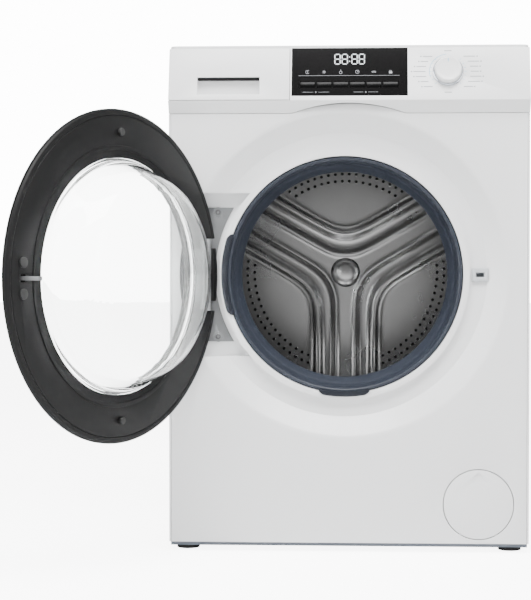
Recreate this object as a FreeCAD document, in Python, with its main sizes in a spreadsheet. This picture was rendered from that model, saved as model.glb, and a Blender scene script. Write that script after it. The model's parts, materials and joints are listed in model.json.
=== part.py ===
import FreeCAD, Part
import math
import os
import re
import Sketcher

# Front-loading washing machine with its round door swung open.
# Millimetres. The origin is on the floor in the middle of the four feet,
# +X is the right-hand side seen from the front, +Y points to the back and +Z up.

DIMENSIONS = [
    # cabinet
    ("body_width", 595), ("body_depth", 460), ("body_height", 840),
    ("shell_wall", 1.5), ("sheet_wall", 1.2), ("edge_roll", 3.5), ("roll_depth", 12), ("seam_gap", 0.8),
    ("piece_gap", 0.5),
    ("worktop_height", 28), ("worktop_lip", 6), ("base_clearance", 7.6), ("base_height", 40),
    ("base_wall", 3), ("panel_clearance", 15), ("rail_height", 22), ("rail_width", 25), ("rail_setback", 250),
    # feet
    ("foot_radius", 19), ("foot_spread_x", 538), ("foot_spread_y", 380), ("foot_gap", 0.3),
    ("stud_radius", 5), ("stud_rise", 34), ("boss_radius", 11), ("running_gap", 0.05),
    # control fascia
    ("fascia_height", 108.4), ("ridge_rise", 20.4), ("ridge_proud", 12), ("face_setback", 27),
    ("fascia_depth", 27.5), ("fascia_wall", 3), ("lobe_radius", 274), ("lobe_rise", 16.4),
    ("display_left", 94), ("display_width", 191), ("display_rise", 7), ("display_thick", 2.5),
    ("key_width", 25), ("key_height", 10), ("key_pitch", 27.3), ("key_rise", 26),
    ("key_centre", 0.4), ("key_gap", 0.3), ("key_depth", 7),
    ("knob_x", 163), ("knob_rise", 48), ("knob_radius", 22), ("knob_proud", 13), ("bezel_radius", 25),
    ("bezel_thick", 2), ("knob_shaft_radius", 4),
    # dispenser drawer
    ("drawer_width", 201), ("drawer_depth", 196), ("tray_rise", 11), ("tray_height", 42), ("tray_wall", 2),
    ("tray_split", 52), ("tray_margin", 15), ("tray_gap", 1.5), ("housing_wall", 2), ("grip_left", 47.5),
    ("grip_width", 103),
    ("grip_rise", 10), ("grip_height", 29), ("grip_depth", 14),
    # door mouth in the front panel
    ("door_offset", -7), ("door_drop", 266.6), ("dish_radius", 269), ("dish_floor_radius", 236),
    ("dish_depth", 24), ("ridge_ring_outer", 207), ("ridge_ring_inner", 197), ("ridge_ring_height", 10),
    ("flange_depth", 12), ("dish_wall", 2), ("pocket_radius", 274), ("pocket_half_height", 136),
    ("pocket_depth", 38),
    # hinge and lock
    ("hinge_reach", 225), ("hinge_proud", 6), ("hinge_pin_radius", 2.5), ("knuckle_radius", 5),
    ("knuckle_rise", 52), ("knuckle_height", 14), ("knuckle_gap", 1), ("hinge_plate_thick", 3),
    ("hinge_plate_half_height", 112), ("hinge_plate_inner", 216), ("hinge_plate_outer", 264),
    ("hinge_screw_rise", 104), ("hinge_screw_reach", 228), ("screw_head_radius", 5), ("screw_head_height", 2.5),
    ("lock_reach", 224.6), ("lock_width", 26.6), ("lock_height", 22), ("lock_proud", 5), ("lock_depth", 24),
    ("slot_width", 13.6), ("slot_height", 7.5), ("slot_depth", 24),
    # door
    ("door_open", 121.5), ("door_radius", 260), ("door_inner_radius", 249), ("door_thick", 14),
    ("door_face_gap", 10), ("inner_ring_thick", 5), ("glass_radius", 184), ("glass_mid_radius", 168),
    ("glass_mid_depth", 30), ("glass_deep_radius", 158), ("glass_deep_depth", 56), ("glass_end_radius", 132),
    ("glass_depth", 72), ("glass_wall", 4), ("leaf_thick", 3), ("leaf_reach", 34), ("notch_reach", 42),
    ("bumper_reach", 224), ("bumper_radius", 6), ("bumper_height", 6), ("stop_rise", 23), ("stop_radius", 8),
    ("stop_height", 4), ("hook_length", 33), ("hook_thick", 5), ("hook_height", 6), ("hook_hole", 12),
    ("hook_pivot_depth", 7), ("hook_pin_radius", 2),
    # gasket, tub and drum; depths are counted from the front plane
    ("gasket_radius", 196.5), ("gasket_lip_radius", 172), ("gasket_wall", 4), ("gasket_front", 15),
    ("gasket_back", 71.5), ("tub_radius", 256), ("tub_wall", 4), ("tub_neck_radius", 207),
    ("tub_neck_front", 72), ("tub_front", 80), ("tub_split", 240), ("tub_back", 385), ("tub_back_thick", 7),
    ("tub_hub_radius", 45), ("tub_hub_back", 425), ("bearing_radius", 20), ("ballast_thick", 28),
    ("ballast_radius", 250), ("top_ballast_width", 220), ("top_ballast_front", 110),
    ("top_ballast_back", 330), ("top_ballast_rise", 296), ("top_ballast_base", 215),
    ("drum_radius", 240), ("drum_wall", 1.5), ("drum_front", 92), ("drum_mouth_radius", 202),
    ("drum_back", 362), ("drum_back_thick", 3), ("hub_cap_radius", 29), ("hub_cap_depth", 16),
    ("lifter_width", 54), ("lifter_height", 44), ("lifter_length", 220), ("spider_thick", 18),
    ("spider_arm_width", 46), ("spider_hub_radius", 38), ("shaft_radius", 12.5), ("shaft_back", 444),
    ("pulley_radius", 140), ("pulley_front", 430), ("pulley_width", 12), ("pulley_web", 4),
    ("belt_thick", 3), ("belt_gap", 0.3),
    # motor
    ("motor_offset", 40), ("motor_drop", 330), ("motor_radius", 60), ("motor_front", 180),
    ("motor_back", 360), ("motor_shaft_radius", 8), ("motor_pulley_radius", 10.4), ("motor_lug_width", 40),
    ("motor_lug_length", 22), ("motor_core_gap", 2),
    # suspension
    ("spring_radius", 14), ("spring_spread", 200), ("spring_hook_rise", 186), ("spring_bracket_width", 26),
    ("damper_spread", 150), ("damper_radius", 16), ("damper_rod_radius", 10), ("damper_height", 140),
    ("damper_overlap", 60), ("damper_setback", 230),
    # water
    ("pump_x", 214.7), ("pump_rise", 80), ("flap_radius", 57.3), ("flap_thick", 2.5), ("flap_gap", 1.5),
    ("flap_hinge_drop", 50), ("flap_recess", 18), ("cup_wall", 2), ("flap_pin_radius", 1),
    ("flap_pin_reach", 33), ("flap_notch_reach", 28), ("flap_notch_rise", 2), ("filter_radius", 25.6), ("filter_gap", 0.4),
    ("filter_knob_radius", 16), ("pump_radius", 34), ("pump_front", 95), ("pump_back", 165),
    ("pump_foot_width", 46), ("drain_radius", 10.5), ("spigot_proud", 25), ("sump_offset", 107),
    ("sump_setback", 130), ("sump_hose_radius", 14), ("valve_x", 202), ("valve_drop", 80),
    ("valve_width", 44), ("valve_depth", 45), ("valve_radius", 13.2), ("valve_proud", 22), ("neck_step", 2),
    ("inlet_hose_radius", 7),
    ("dispenser_hose_radius", 18), ("dispenser_hose_x", 150), ("heater_radius", 4), ("heater_spread", 15),
    ("heater_front", 150), ("gland_x", 235), ("gland_drop", 95), ("gland_radius", 9), ("cable_radius", 4),
    ("gland_length", 20), ("cover_width", 360), ("cover_height", 470), ("cover_thick", 3),
    ("cover_margin", 10), ("cap_radius", 14), ("cap_thick", 2.5), ("cap_x", 225), ("cap_spread_z", 320),
]

doc = FreeCAD.newDocument("washing_machine")
sheet = doc.addObject("Spreadsheet::Sheet", "dims")
for row, (alias, size) in enumerate(DIMENSIONS, start=1):
    sheet.set(f"A{row}", alias)
    sheet.set(f"B{row}", str(size))
    sheet.setAlias(f"B{row}", alias)
doc.recompute()

ALIASES = [alias for alias, size in DIMENSIONS]
WORD = re.compile(r"[a-z][a-z_]+")

FRONT = "(-body_depth / 2)"
BACK = "(body_depth / 2)"
SIDE = "(body_width / 2)"
SHELL_TOP = "(body_height - worktop_height)"
FASCIA_TOP = "(body_height - worktop_lip)"
SEAM = f"({FASCIA_TOP} - fascia_height)"
RIDGE = f"({SEAM} + ridge_rise)"
FACE_RISE = "(fascia_height - ridge_rise)"
FACE_LEAN = f"atan(face_setback / {FACE_RISE})"
MOUTH_X = "door_offset"
MOUTH_Z = f"({SEAM} - door_drop)"
HINGE_X = "(door_offset - hinge_reach)"
HINGE_Y = f"({FRONT} - hinge_proud)"
DOOR_FACE = f"({FRONT} - door_face_gap)"
DRAWER_RIGHT = f"(-{SIDE} + drawer_width)"
MOTOR_X = "(door_offset + motor_offset)"
MOTOR_Z = f"({MOUTH_Z} - motor_drop)"
BASE_FLOOR = "(base_clearance + base_wall)"
SPRING_Y = f"({FRONT} + rail_setback + rail_width / 2)"

node_list = []


def in_sheet(text):
    """Expression text with every alias written as a cell of the sheet."""
    return WORD.sub(lambda word: "dims." + word.group() if word.group() in ALIASES else word.group(), str(text))


def bind(piece, prop, text):
    piece.setExpression(prop, in_sheet(text))


def number(text):
    """Present value of an expression on the sheet."""
    result = sheet.evalExpression(in_sheet(text))
    return float(getattr(result, "Value", result))


def place(piece, x, y, z):
    for letter, text in (("x", x), ("y", y), ("z", z)):
        bind(piece, f".Placement.Base.{letter}", text)
    return piece


def box(name, x0, x1, y0, y1, z0, z1):
    piece = doc.addObject("Part::Box", name)
    for prop, low, high in (("Length", x0, x1), ("Width", y0, y1), ("Height", z0, z1)):
        bind(piece, prop, f"({high}) - ({low})")
    return place(piece, x0, y0, z0)


TURNS = {
    "x": FreeCAD.Rotation(FreeCAD.Vector(0, 1, 0), 90),
    "y": FreeCAD.Rotation(FreeCAD.Vector(1, 0, 0), -90),
    "z": FreeCAD.Rotation(),
}


def rod(name, radius, length, x, y, z, axis="y"):
    """A cylinder from x, y, z along one axis."""
    piece = doc.addObject("Part::Cylinder", name)
    piece.Placement = FreeCAD.Placement(FreeCAD.Vector(), TURNS[axis])
    bind(piece, "Radius", radius)
    bind(piece, "Height", length)
    return place(piece, x, y, z)


def outline(body, role, points):
    """A closed sketch of straight edges, each corner held by the sheet."""
    sketch = body.newObject("Sketcher::SketchObject", body.Name + "_outline")
    plane = [part for part in body.Origin.OriginFeatures if part.Role == role][0]
    sketch.AttachmentSupport = [(plane, "")]
    sketch.MapMode = "FlatFace"
    corners = [(number(u), number(v)) for u, v in points]
    for index, (u, v) in enumerate(corners):
        next_u, next_v = corners[(index + 1) % len(corners)]
        edge = Part.LineSegment(FreeCAD.Vector(u, v, 0), FreeCAD.Vector(next_u, next_v, 0))
        sketch.addGeometry(edge)
    for index, (u, v) in enumerate(points):
        before = (index - 1) % len(points)
        sketch.addConstraint(Sketcher.Constraint("Coincident", before, 2, index, 1))
        for kind, text, axis in (("DistanceX", u, -2), ("DistanceY", v, -1)):
            if str(text) == "0":
                sketch.addConstraint(Sketcher.Constraint("PointOnObject", index, 1, axis))
                continue
            held = sketch.addConstraint(Sketcher.Constraint(kind, -1, 1, index, 1, number(text)))
            bind(sketch, f"Constraints[{held}]", text)
    return sketch


def turned(name, points, x, y, z, upright=False):
    """A revolved piece: points are (radius, distance along the axis from y, or from z if upright)."""
    body = doc.addObject("PartDesign::Body", name)
    sketch = outline(body, "XY_Plane", points)
    revolution = body.newObject("PartDesign::Revolution", name + "_turned")
    revolution.Profile = sketch
    revolution.ReferenceAxis = (sketch, ["V_Axis"])
    revolution.Angle = 360
    if upright:
        body.Placement = FreeCAD.Placement(FreeCAD.Vector(), FreeCAD.Rotation(FreeCAD.Vector(1, 0, 0), 90))
    return place(body, x, y, z)


def prism(name, points, x0, x1):
    """A straight piece along X: points are (y, z)."""
    body = doc.addObject("PartDesign::Body", name)
    sketch = outline(body, "YZ_Plane", points)
    pad = body.newObject("PartDesign::Pad", name + "_length")
    pad.Profile = sketch
    bind(pad, "Length", f"({x1}) - ({x0})")
    return place(body, x0, 0, 0)


def fuse(name, *pieces):
    piece = doc.addObject("Part::MultiFuse", name)
    piece.Shapes = list(pieces)
    return piece


def cut(name, base, *tools):
    piece = doc.addObject("Part::Cut", name)
    piece.Base = base
    piece.Tool = tools[0] if len(tools) == 1 else fuse(name + "_tools", *tools)
    return piece


def common(name, *pieces):
    piece = doc.addObject("Part::MultiCommon", name)
    piece.Shapes = list(pieces)
    return piece


def copies(name, count, make):
    return [make(f"{name}_{index + 1}", index) for index in range(count)]


def on_face(piece, x, rise, inset):
    """Lay a piece on the sloping fascia: its own Y runs into the fascia and Z up the face."""
    piece.Placement = FreeCAD.Placement(FreeCAD.Vector(), FreeCAD.Rotation(FreeCAD.Vector(1, 0, 0), -1))
    bind(piece, ".Placement.Rotation.Angle", f"-{FACE_LEAN}")
    along = f"({rise}) * face_setback / {FACE_RISE}"
    place(
        piece,
        x,
        f"{FRONT} - ridge_proud + {along} + ({inset}) * cos({FACE_LEAN})",
        f"{RIDGE} + ({rise}) - ({inset}) * sin({FACE_LEAN})",
    )
    return piece


def swing(piece, x="0", y="0", z="0"):
    """Turn a piece, drawn with the door shut, about the hinge line into the open position."""
    piece.Placement = FreeCAD.Placement(FreeCAD.Vector(), FreeCAD.Rotation(FreeCAD.Vector(0, 0, 1), -1))
    bind(piece, ".Placement.Rotation.Angle", "-door_open")
    arm_x = f"(({x}) - {HINGE_X})"
    arm_y = f"(({y}) - {HINGE_Y})"
    place(
        piece,
        f"{HINGE_X} + {arm_x} * cos(door_open) + {arm_y} * sin(door_open)",
        f"{HINGE_Y} - {arm_x} * sin(door_open) + {arm_y} * cos(door_open)",
        z,
    )
    return piece


def node(piece, name):
    piece.Label = name
    node_list.append(piece)
    return piece


# ---------------------------------------------------------------- cabinet


def make_cabinet():
    fascia_room = [
        f"{FRONT} - 1", f"{FRONT} + fascia_depth + piece_gap", f"{SEAM} - seam_gap", f"{SHELL_TOP} + 1",
    ]
    for name, low, high, roll_low, roll_high in (
        ("side_left", f"-{SIDE}", f"-{SIDE} + shell_wall", f"-{SIDE} + shell_wall / 2", f"-{SIDE} + edge_roll"),
        ("side_right", f"{SIDE} - shell_wall", SIDE, f"{SIDE} - edge_roll", f"{SIDE} - shell_wall / 2"),
    ):
        skin = box(name + "_skin", low, high, FRONT, BACK, "panel_clearance", SHELL_TOP)
        roll = box(name + "_roll", roll_low, roll_high, FRONT, f"{FRONT} + roll_depth", "panel_clearance",
                   f"{SEAM} - seam_gap")
        room = box(name + "_room", f"{low} - 1", f"{high} + 1", *fascia_room)
        node(fuse(name, cut(name + "_sheet", skin, room), roll), name)

    inside = f"({SIDE} - shell_wall)"
    sheet_back = box("back_sheet", f"-{inside}", inside, f"{BACK} - shell_wall", BACK, "panel_clearance",
                     SHELL_TOP)
    service_hole = box(
        "service_hole", "-cover_width / 2 + cover_margin", "cover_width / 2 - cover_margin",
        f"{BACK} - 10", f"{BACK} + 1",
        f"{MOUTH_Z} - cover_height / 2 + cover_margin", f"{MOUTH_Z} + cover_height / 2 - cover_margin",
    )
    valve_hole = rod("valve_hole", "valve_radius + neck_step", 20, "valve_x", f"{BACK} - 10",
                     f"{FASCIA_TOP} - valve_drop")
    drain_hole = rod("drain_hole", "drain_radius + neck_step", 20, "pump_x", f"{BACK} - 10", "pump_rise")
    gland_hole = rod("gland_hole", "gland_radius", 20, "-gland_x", f"{BACK} - 10", f"{FASCIA_TOP} - gland_drop")
    node(cut("back_panel", sheet_back, service_hole, valve_hole, drain_hole, gland_hole), "back_panel")
    rail = box("spring_rail", f"-{inside}", inside, f"{FRONT} + rail_setback",
               f"{FRONT} + rail_setback + rail_width", f"{SHELL_TOP} - rail_height", SHELL_TOP)
    node(rail, "spring_rail")


def foot_place(index):
    return f"{(index % 2) * 2 - 1} * foot_spread_x / 2", f"{(index // 2) * 2 - 1} * foot_spread_y / 2"


def make_base():
    tray_side = f"({SIDE} - shell_wall)"
    tray_front = f"({FRONT} + roll_depth + piece_gap)"
    tray_back = f"({BACK} - shell_wall)"
    base_top = "(base_clearance + base_height)"
    tray = box("tray_block", f"-{tray_side}", tray_side, tray_front, tray_back, "base_clearance", base_top)
    hollow = box(
        "tray_hollow", f"-{tray_side} + base_wall", f"{tray_side} - base_wall", f"{tray_front} + base_wall",
        f"{tray_back} - base_wall", BASE_FLOOR, f"{base_top} + 1",
    )
    cup_room = rod("tray_cup_room", "flap_radius + flap_gap + cup_wall + piece_gap",
                   "flap_recess + cup_wall + piece_gap", "pump_x", FRONT, "pump_rise")
    tray_skin = cut("tray_skin", tray, hollow, cup_room)
    bosses = []
    bores = []
    for index in range(4):
        x, y = foot_place(index)
        bosses.append(rod(f"boss_{index}", "boss_radius", "base_height", x, y, "base_clearance", "z"))
        bores.append(rod(f"bore_{index}", "stud_radius + running_gap", "base_height + 2", x, y,
                         "base_clearance - 1", "z"))
    solid = fuse("base_solid", tray_skin, *bosses)
    node(cut("base_frame", solid, *bores), "base_frame")
    for index in range(4):
        x, y = foot_place(index)
        pad = rod(f"foot_pad_{index}", "foot_radius", "base_clearance - foot_gap", x, y, "0", "z")
        stud = rod(f"foot_stud_{index}", "stud_radius", "stud_rise", x, y, "base_clearance - foot_gap - 1", "z")
        node(fuse(f"foot_{index + 1}", pad, stud), f"foot_{index + 1}")


def make_worktop():
    slab = box("worktop_slab", f"-{SIDE}", SIDE, f"{FRONT} + fascia_depth + piece_gap", f"{BACK}",
               SHELL_TOP, "body_height")
    node(slab, "worktop")


def make_front_panel():
    side = f"({SIDE} - edge_roll - piece_gap)"
    plate_top = f"({SEAM} - seam_gap)"
    plate = box("panel_plate", f"-{side}", side, FRONT, f"{FRONT} + sheet_wall", "panel_clearance", plate_top)
    lobe_z = f"{plate_top} + lobe_rise - lobe_radius"
    lobe_disc = rod("lobe_disc", "lobe_radius", "sheet_wall", "0", FRONT, lobe_z)
    above = box("lobe_room", "-lobe_radius", "lobe_radius", f"{FRONT} - 1", f"{FRONT} + 5",
                f"{plate_top} - 1", f"{plate_top} + lobe_rise + 5")
    lobe = common("panel_lobe", lobe_disc, above)
    mouth = rod("panel_mouth", "dish_radius + 1", 10, MOUTH_X, f"{FRONT} - 5", MOUTH_Z)
    flap_hole = rod("flap_hole", "flap_radius + flap_gap", 10, "pump_x", f"{FRONT} - 5", "pump_rise")
    flat = cut("panel_flat", fuse("panel_face", plate, lobe), mouth, flap_hole)
    floor = "dish_depth"
    ring_front = "(dish_depth - ridge_ring_height)"
    dish = turned("dish_sheet", [
        ("dish_radius + 3", "0"),
        ("dish_radius", "0"),
        ("dish_floor_radius", floor),
        ("ridge_ring_outer", floor),
        ("ridge_ring_outer", ring_front),
        ("ridge_ring_inner", ring_front),
        ("ridge_ring_inner", f"{floor} + flange_depth"),
        ("ridge_ring_inner + dish_wall", f"{floor} + flange_depth"),
        ("ridge_ring_inner + dish_wall", f"{ring_front} + dish_wall"),
        ("ridge_ring_outer - dish_wall", f"{ring_front} + dish_wall"),
        ("ridge_ring_outer - dish_wall", f"{floor} + dish_wall"),
        ("dish_floor_radius + 1", f"{floor} + dish_wall"),
        ("dish_radius + 3", "dish_wall"),
    ], MOUTH_X, FRONT, MOUTH_Z)
    pocket = []
    for name, grow in (("pocket_block", "dish_wall"), ("pocket_room", "0")):
        start = FRONT if name == "pocket_block" else f"{FRONT} - 1"
        stop = f"{FRONT} + pocket_depth + {grow}"
        disc = rod(name + "_disc", f"pocket_radius + {grow}", f"{stop} - ({start})", MOUTH_X, start, MOUTH_Z)
        band = box(name + "_band", f"{MOUTH_X} - pocket_radius - 10", f"{MOUTH_X} - 40", start, stop,
                   f"{MOUTH_Z} - pocket_half_height - {grow}", f"{MOUTH_Z} + pocket_half_height + {grow}")
        core = rod(name + "_core", f"ridge_ring_outer - {grow}", f"{stop} - ({start}) + 2", MOUTH_X,
                   f"{start} - 1", MOUTH_Z)
        pocket.append(cut(name, common(name + "_sector", disc, band), core))
    dish_room = turned("dish_room", [
        ("0", "-1"), ("dish_radius", "-1"), ("dish_radius", "0"), ("dish_floor_radius", floor), ("0", floor),
    ], MOUTH_X, FRONT, MOUTH_Z)
    pocket_wall = cut("pocket_wall", pocket[0], dish_room)
    cup = turned("flap_cup", [
        ("flap_radius + flap_gap", "0"),
        ("flap_radius + flap_gap + cup_wall", "0"),
        ("flap_radius + flap_gap + cup_wall", "flap_recess + cup_wall"),
        ("filter_radius + filter_gap", "flap_recess + cup_wall"),
        ("filter_radius + filter_gap", "flap_recess"),
        ("flap_radius + flap_gap", "flap_recess"),
    ], "pump_x", FRONT, "pump_rise")
    lock_hole = box("lock_hole", f"{MOUTH_X} + lock_reach - lock_width / 2 + 2",
                    f"{MOUTH_X} + lock_reach + lock_width / 2 - 2", FRONT, f"{FRONT} + dish_depth + 10",
                    f"{MOUTH_Z} - lock_height / 2 + 2", f"{MOUTH_Z} + lock_height / 2 - 2")
    pin_holes = rod("flap_pin_holes", "flap_pin_radius + running_gap", "2 * flap_pin_reach + 1",
                    "pump_x - flap_pin_reach - 0.5", f"{FRONT} + flap_thick / 2",
                    "pump_rise - flap_hinge_drop", "x")
    whole = fuse("panel_whole", flat, dish, pocket_wall, cup)
    node(cut("front_panel", whole, pocket[1], lock_hole, pin_holes), "front_panel")


def make_rear():
    cover = box("rear_cover", "-cover_width / 2", "cover_width / 2", BACK, f"{BACK} + cover_thick",
                f"{MOUTH_Z} - cover_height / 2", f"{MOUTH_Z} + cover_height / 2")
    node(cover, "rear_cover")
    caps = []
    for index in range(4):
        x = f"{(index % 2) * 2 - 1} * cap_x"
        z = f"{MOUTH_Z} + {(index // 2) * 2 - 1} * cap_spread_z / 2"
        caps.append(rod(f"cap_{index}", "cap_radius", "cap_thick", x, BACK, z))
    node(fuse("transit_caps", *caps), "transit_caps")
    body = rod("gland_body", "gland_radius", "gland_length", "-gland_x", f"{BACK} - gland_length / 2",
               f"{FASCIA_TOP} - gland_drop")
    bore = rod("gland_bore", "cable_radius", "gland_length + 2", "-gland_x",
               f"{BACK} - gland_length / 2 - 1", f"{FASCIA_TOP} - gland_drop")
    node(cut("mains_gland", body, bore), "mains_gland")


# ---------------------------------------------------------------- control fascia


def face_outline(wall):
    """Section of the fascia: the lower lip, the ridge, the leaning face and the top return."""
    return [
        (FRONT, SEAM),
        (f"{FRONT} - ridge_proud", RIDGE),
        (f"{FRONT} - ridge_proud + face_setback", FASCIA_TOP),
        (f"{FRONT} + fascia_depth", FASCIA_TOP),
        (f"{FRONT} + fascia_depth", f"{FASCIA_TOP} - {wall}"),
        (f"{FRONT} - ridge_proud + face_setback + {wall} * 0.8", f"{FASCIA_TOP} - {wall}"),
        (f"{FRONT} - ridge_proud + {wall} * 1.05", RIDGE),
        (f"{FRONT} + {wall} * 1.1", f"{SEAM} + {wall}"),
        (f"{FRONT} + fascia_depth", f"{SEAM} + {wall}"),
        (f"{FRONT} + fascia_depth", SEAM),
    ]


def display_solid(name, gap, depth):
    """The glass-fronted window of the display, or its opening with a gap all round."""
    window = doc.addObject("Part::Box", name)
    bind(window, "Length", f"display_width + 2 * ({gap})")
    bind(window, "Width", depth)
    bind(window, "Height", f"({FACE_RISE} - display_rise) / cos({FACE_LEAN}) + 3 * ({gap})")
    return on_face(window, f"-display_left - ({gap})", f"display_rise - ({gap})", "0")


def key_x(index):
    return f"(key_centre + ({index} - 2.5) * key_pitch)"


def key_solid(name, index, gap, start, depth):
    key = doc.addObject("Part::Box", name)
    bind(key, "Length", f"key_width + 2 * ({gap})")
    bind(key, "Width", depth)
    bind(key, "Height", f"key_height + 2 * ({gap})")
    return on_face(key, f"{key_x(index)} - key_width / 2 - ({gap})",
                   f"key_rise - key_height / 2 * cos({FACE_LEAN}) - ({gap})", start)


def make_fascia():
    strip = prism("fascia_strip", face_outline("fascia_wall"), f"-{SIDE}", SIDE)
    cheek_outline = face_outline("fascia_wall")[:4] + [(f"{FRONT} + fascia_depth", SEAM)]
    left = prism("cheek_left", cheek_outline, f"-{SIDE}", f"-{SIDE} + fascia_wall")
    right = prism("cheek_right", cheek_outline, f"{SIDE} - fascia_wall", SIDE)
    drawer_room = box("drawer_room", f"-{SIDE} - 1", DRAWER_RIGHT, f"{FRONT} - 30", f"{FRONT} + 60",
                      RIDGE, f"{FASCIA_TOP} + 1")
    lobe_room = rod("fascia_lobe_room", "lobe_radius + seam_gap", "fascia_depth + 30", "0", f"{FRONT} - 20",
                    f"{SEAM} - seam_gap + lobe_rise - lobe_radius")
    window_room = display_solid("window_room", "0", "display_thick")
    key_rooms = copies("key_room", 6, lambda name, index: key_solid(name, index, "key_gap", "-1", "12"))
    shaft_room = on_face(rod("knob_shaft_room", "knob_shaft_radius + running_gap", 30, "0", "0", "0"),
                         "knob_x", "knob_rise", "-5")
    shaft_room = knob_turn(shaft_room)
    node(cut("control_fascia", fuse("fascia_solid", strip, left, right), drawer_room, lobe_room, window_room,
             shaft_room, *key_rooms), "control_fascia")
    window = display_solid("window_solid", "0", "display_thick")
    window_keys = copies("window_key", 6, lambda name, index: key_solid(name, index, "key_gap", "-1", "12"))
    node(cut("display_window", window, *window_keys), "display_window")
    for index in range(6):
        node(key_solid(f"key_{index + 1}", index, "0", "0.4", "key_depth"), f"key_{index + 1}")


def knob_turn(piece):
    """A cylinder's own Z laid along the inward normal of the fascia face."""
    piece.Placement = FreeCAD.Placement(piece.Placement.Base, FreeCAD.Rotation(FreeCAD.Vector(1, 0, 0), -91))
    bind(piece, ".Placement.Rotation.Angle", f"-90 deg - {FACE_LEAN}")
    return piece


def make_knob():
    knob = turned("programme_knob", [
        ("0", "-knob_proud"),
        ("knob_radius - 2", "-knob_proud"),
        ("knob_radius", "-knob_proud + 3"),
        ("knob_radius", "-bezel_thick - 0.4"),
        ("knob_shaft_radius", "-bezel_thick - 0.4"),
        ("knob_shaft_radius", "16"),
        ("0", "16"),
    ], "0", "0", "0")
    node(on_face(knob, "knob_x", "knob_rise", "0"), "programme_knob")
    bezel = turned("knob_bezel", [
        ("knob_shaft_radius + running_gap", "-bezel_thick"),
        ("bezel_radius - 1", "-bezel_thick"),
        ("bezel_radius", "0"),
        ("knob_shaft_radius + running_gap", "0"),
    ], "0", "0", "0")
    node(on_face(bezel, "knob_x", "knob_rise", "0"), "knob_bezel")


# ---------------------------------------------------------------- dispenser drawer


def make_drawer():
    low = f"({RIDGE} + seam_gap)"
    right = f"({DRAWER_RIGHT} - seam_gap)"
    back = f"({FRONT} + fascia_depth - 2)"
    lean = f"face_setback / {FACE_RISE}"
    face = f"({FRONT} - ridge_proud)"
    outline_front = [
        (f"{face} + seam_gap * {lean}", low),
        (f"{face} + face_setback", FASCIA_TOP),
        (back, FASCIA_TOP),
        (back, low),
    ]
    block = prism("drawer_block", outline_front, f"-{SIDE}", right)
    hollow = prism("drawer_hollow", [
        (f"{face} + fascia_wall + 1", f"{low} + fascia_wall"),
        (f"{face} + face_setback + fascia_wall - 1", f"{FASCIA_TOP} - fascia_wall"),
        (f"{back} - 2", f"{FASCIA_TOP} - fascia_wall"),
        (f"{back} - 2", f"{low} + fascia_wall"),
    ], f"-{SIDE} + fascia_wall", f"{right} - fascia_wall")
    grip_x = f"(-{SIDE} + grip_left)"
    grip_z = f"({RIDGE} + grip_rise)"
    grip_wall = box("grip_wall", f"{grip_x} - 2", f"{grip_x} + grip_width + 2", face, f"{back} - 1",
                    f"{grip_z} - 2", f"{grip_z} + grip_height + 2")
    inside = common("grip_inside", grip_wall, prism("grip_limit", outline_front, f"-{SIDE}", right))
    grip_room = box("grip_room", grip_x, f"{grip_x} + grip_width", f"{face} - 5", f"{face} + 8 + grip_depth",
                    grip_z, f"{grip_z} + grip_height")
    node(cut("drawer_front", fuse("drawer_solid", cut("drawer_skin", block, hollow), inside), grip_room),
         "drawer_front")

    x0 = f"(-{SIDE} + tray_margin)"
    x1 = f"({DRAWER_RIGHT} - tray_margin)"
    y1 = f"({back} + drawer_depth)"
    z0 = f"({RIDGE} + tray_rise)"
    z1 = f"({z0} + tray_height)"
    outer = box("tray_outer", x0, x1, back, y1, z0, z1)
    split_one = f"({x0} + tray_split)"
    split_two = f"({x0} + 2 * tray_split)"
    rooms = []
    for name, left_edge, right_edge in (
        ("tray_room_main", f"{x0} + tray_wall", split_one),
        ("tray_room_prewash", f"{split_one} + tray_wall", split_two),
        ("tray_room_softener", f"{split_two} + tray_wall", f"{x1} - tray_wall"),
    ):
        rooms.append(box(name, left_edge, right_edge, f"{back} + tray_wall", f"{y1} - tray_wall",
                         f"{z0} + tray_wall", f"{z1} + 1"))
    siphon = box("siphon_cover", f"{split_two} + tray_wall", f"{x1} - tray_wall", f"{y1} - tray_wall - 46",
                 f"{y1} - tray_wall", f"{z1} - 8", f"{z1} - 5")
    node(fuse("drawer_tray", cut("tray_rooms", outer, *rooms), siphon), "drawer_tray")

    grow = "tray_gap"
    case_outer = box("case_outer", f"{x0} - {grow} - housing_wall", f"{x1} + {grow} + housing_wall",
                     f"{FRONT} + fascia_depth + piece_gap + 2", f"{y1} + 4 + housing_wall",
                     f"{z0} - {grow} - housing_wall", f"{z1} + {grow} + housing_wall")
    case_inner = box("case_inner", f"{x0} - {grow}", f"{x1} + {grow}", f"{FRONT}", f"{y1} + 4",
                     f"{z0} - {grow}", f"{z1} + {grow}")
    shelf = box("case_shelf", f"-{SIDE} + shell_wall", f"{x0} - {grow}",
                f"{FRONT} + fascia_depth + 60", f"{FRONT} + fascia_depth + 160",
                f"{z0} - {grow} - housing_wall", f"{z0} - {grow}")
    node(fuse("dispenser_housing", cut("case", case_outer, case_inner), shelf), "dispenser_housing")
    return z0


# ---------------------------------------------------------------- hinge, lock and door


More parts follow.
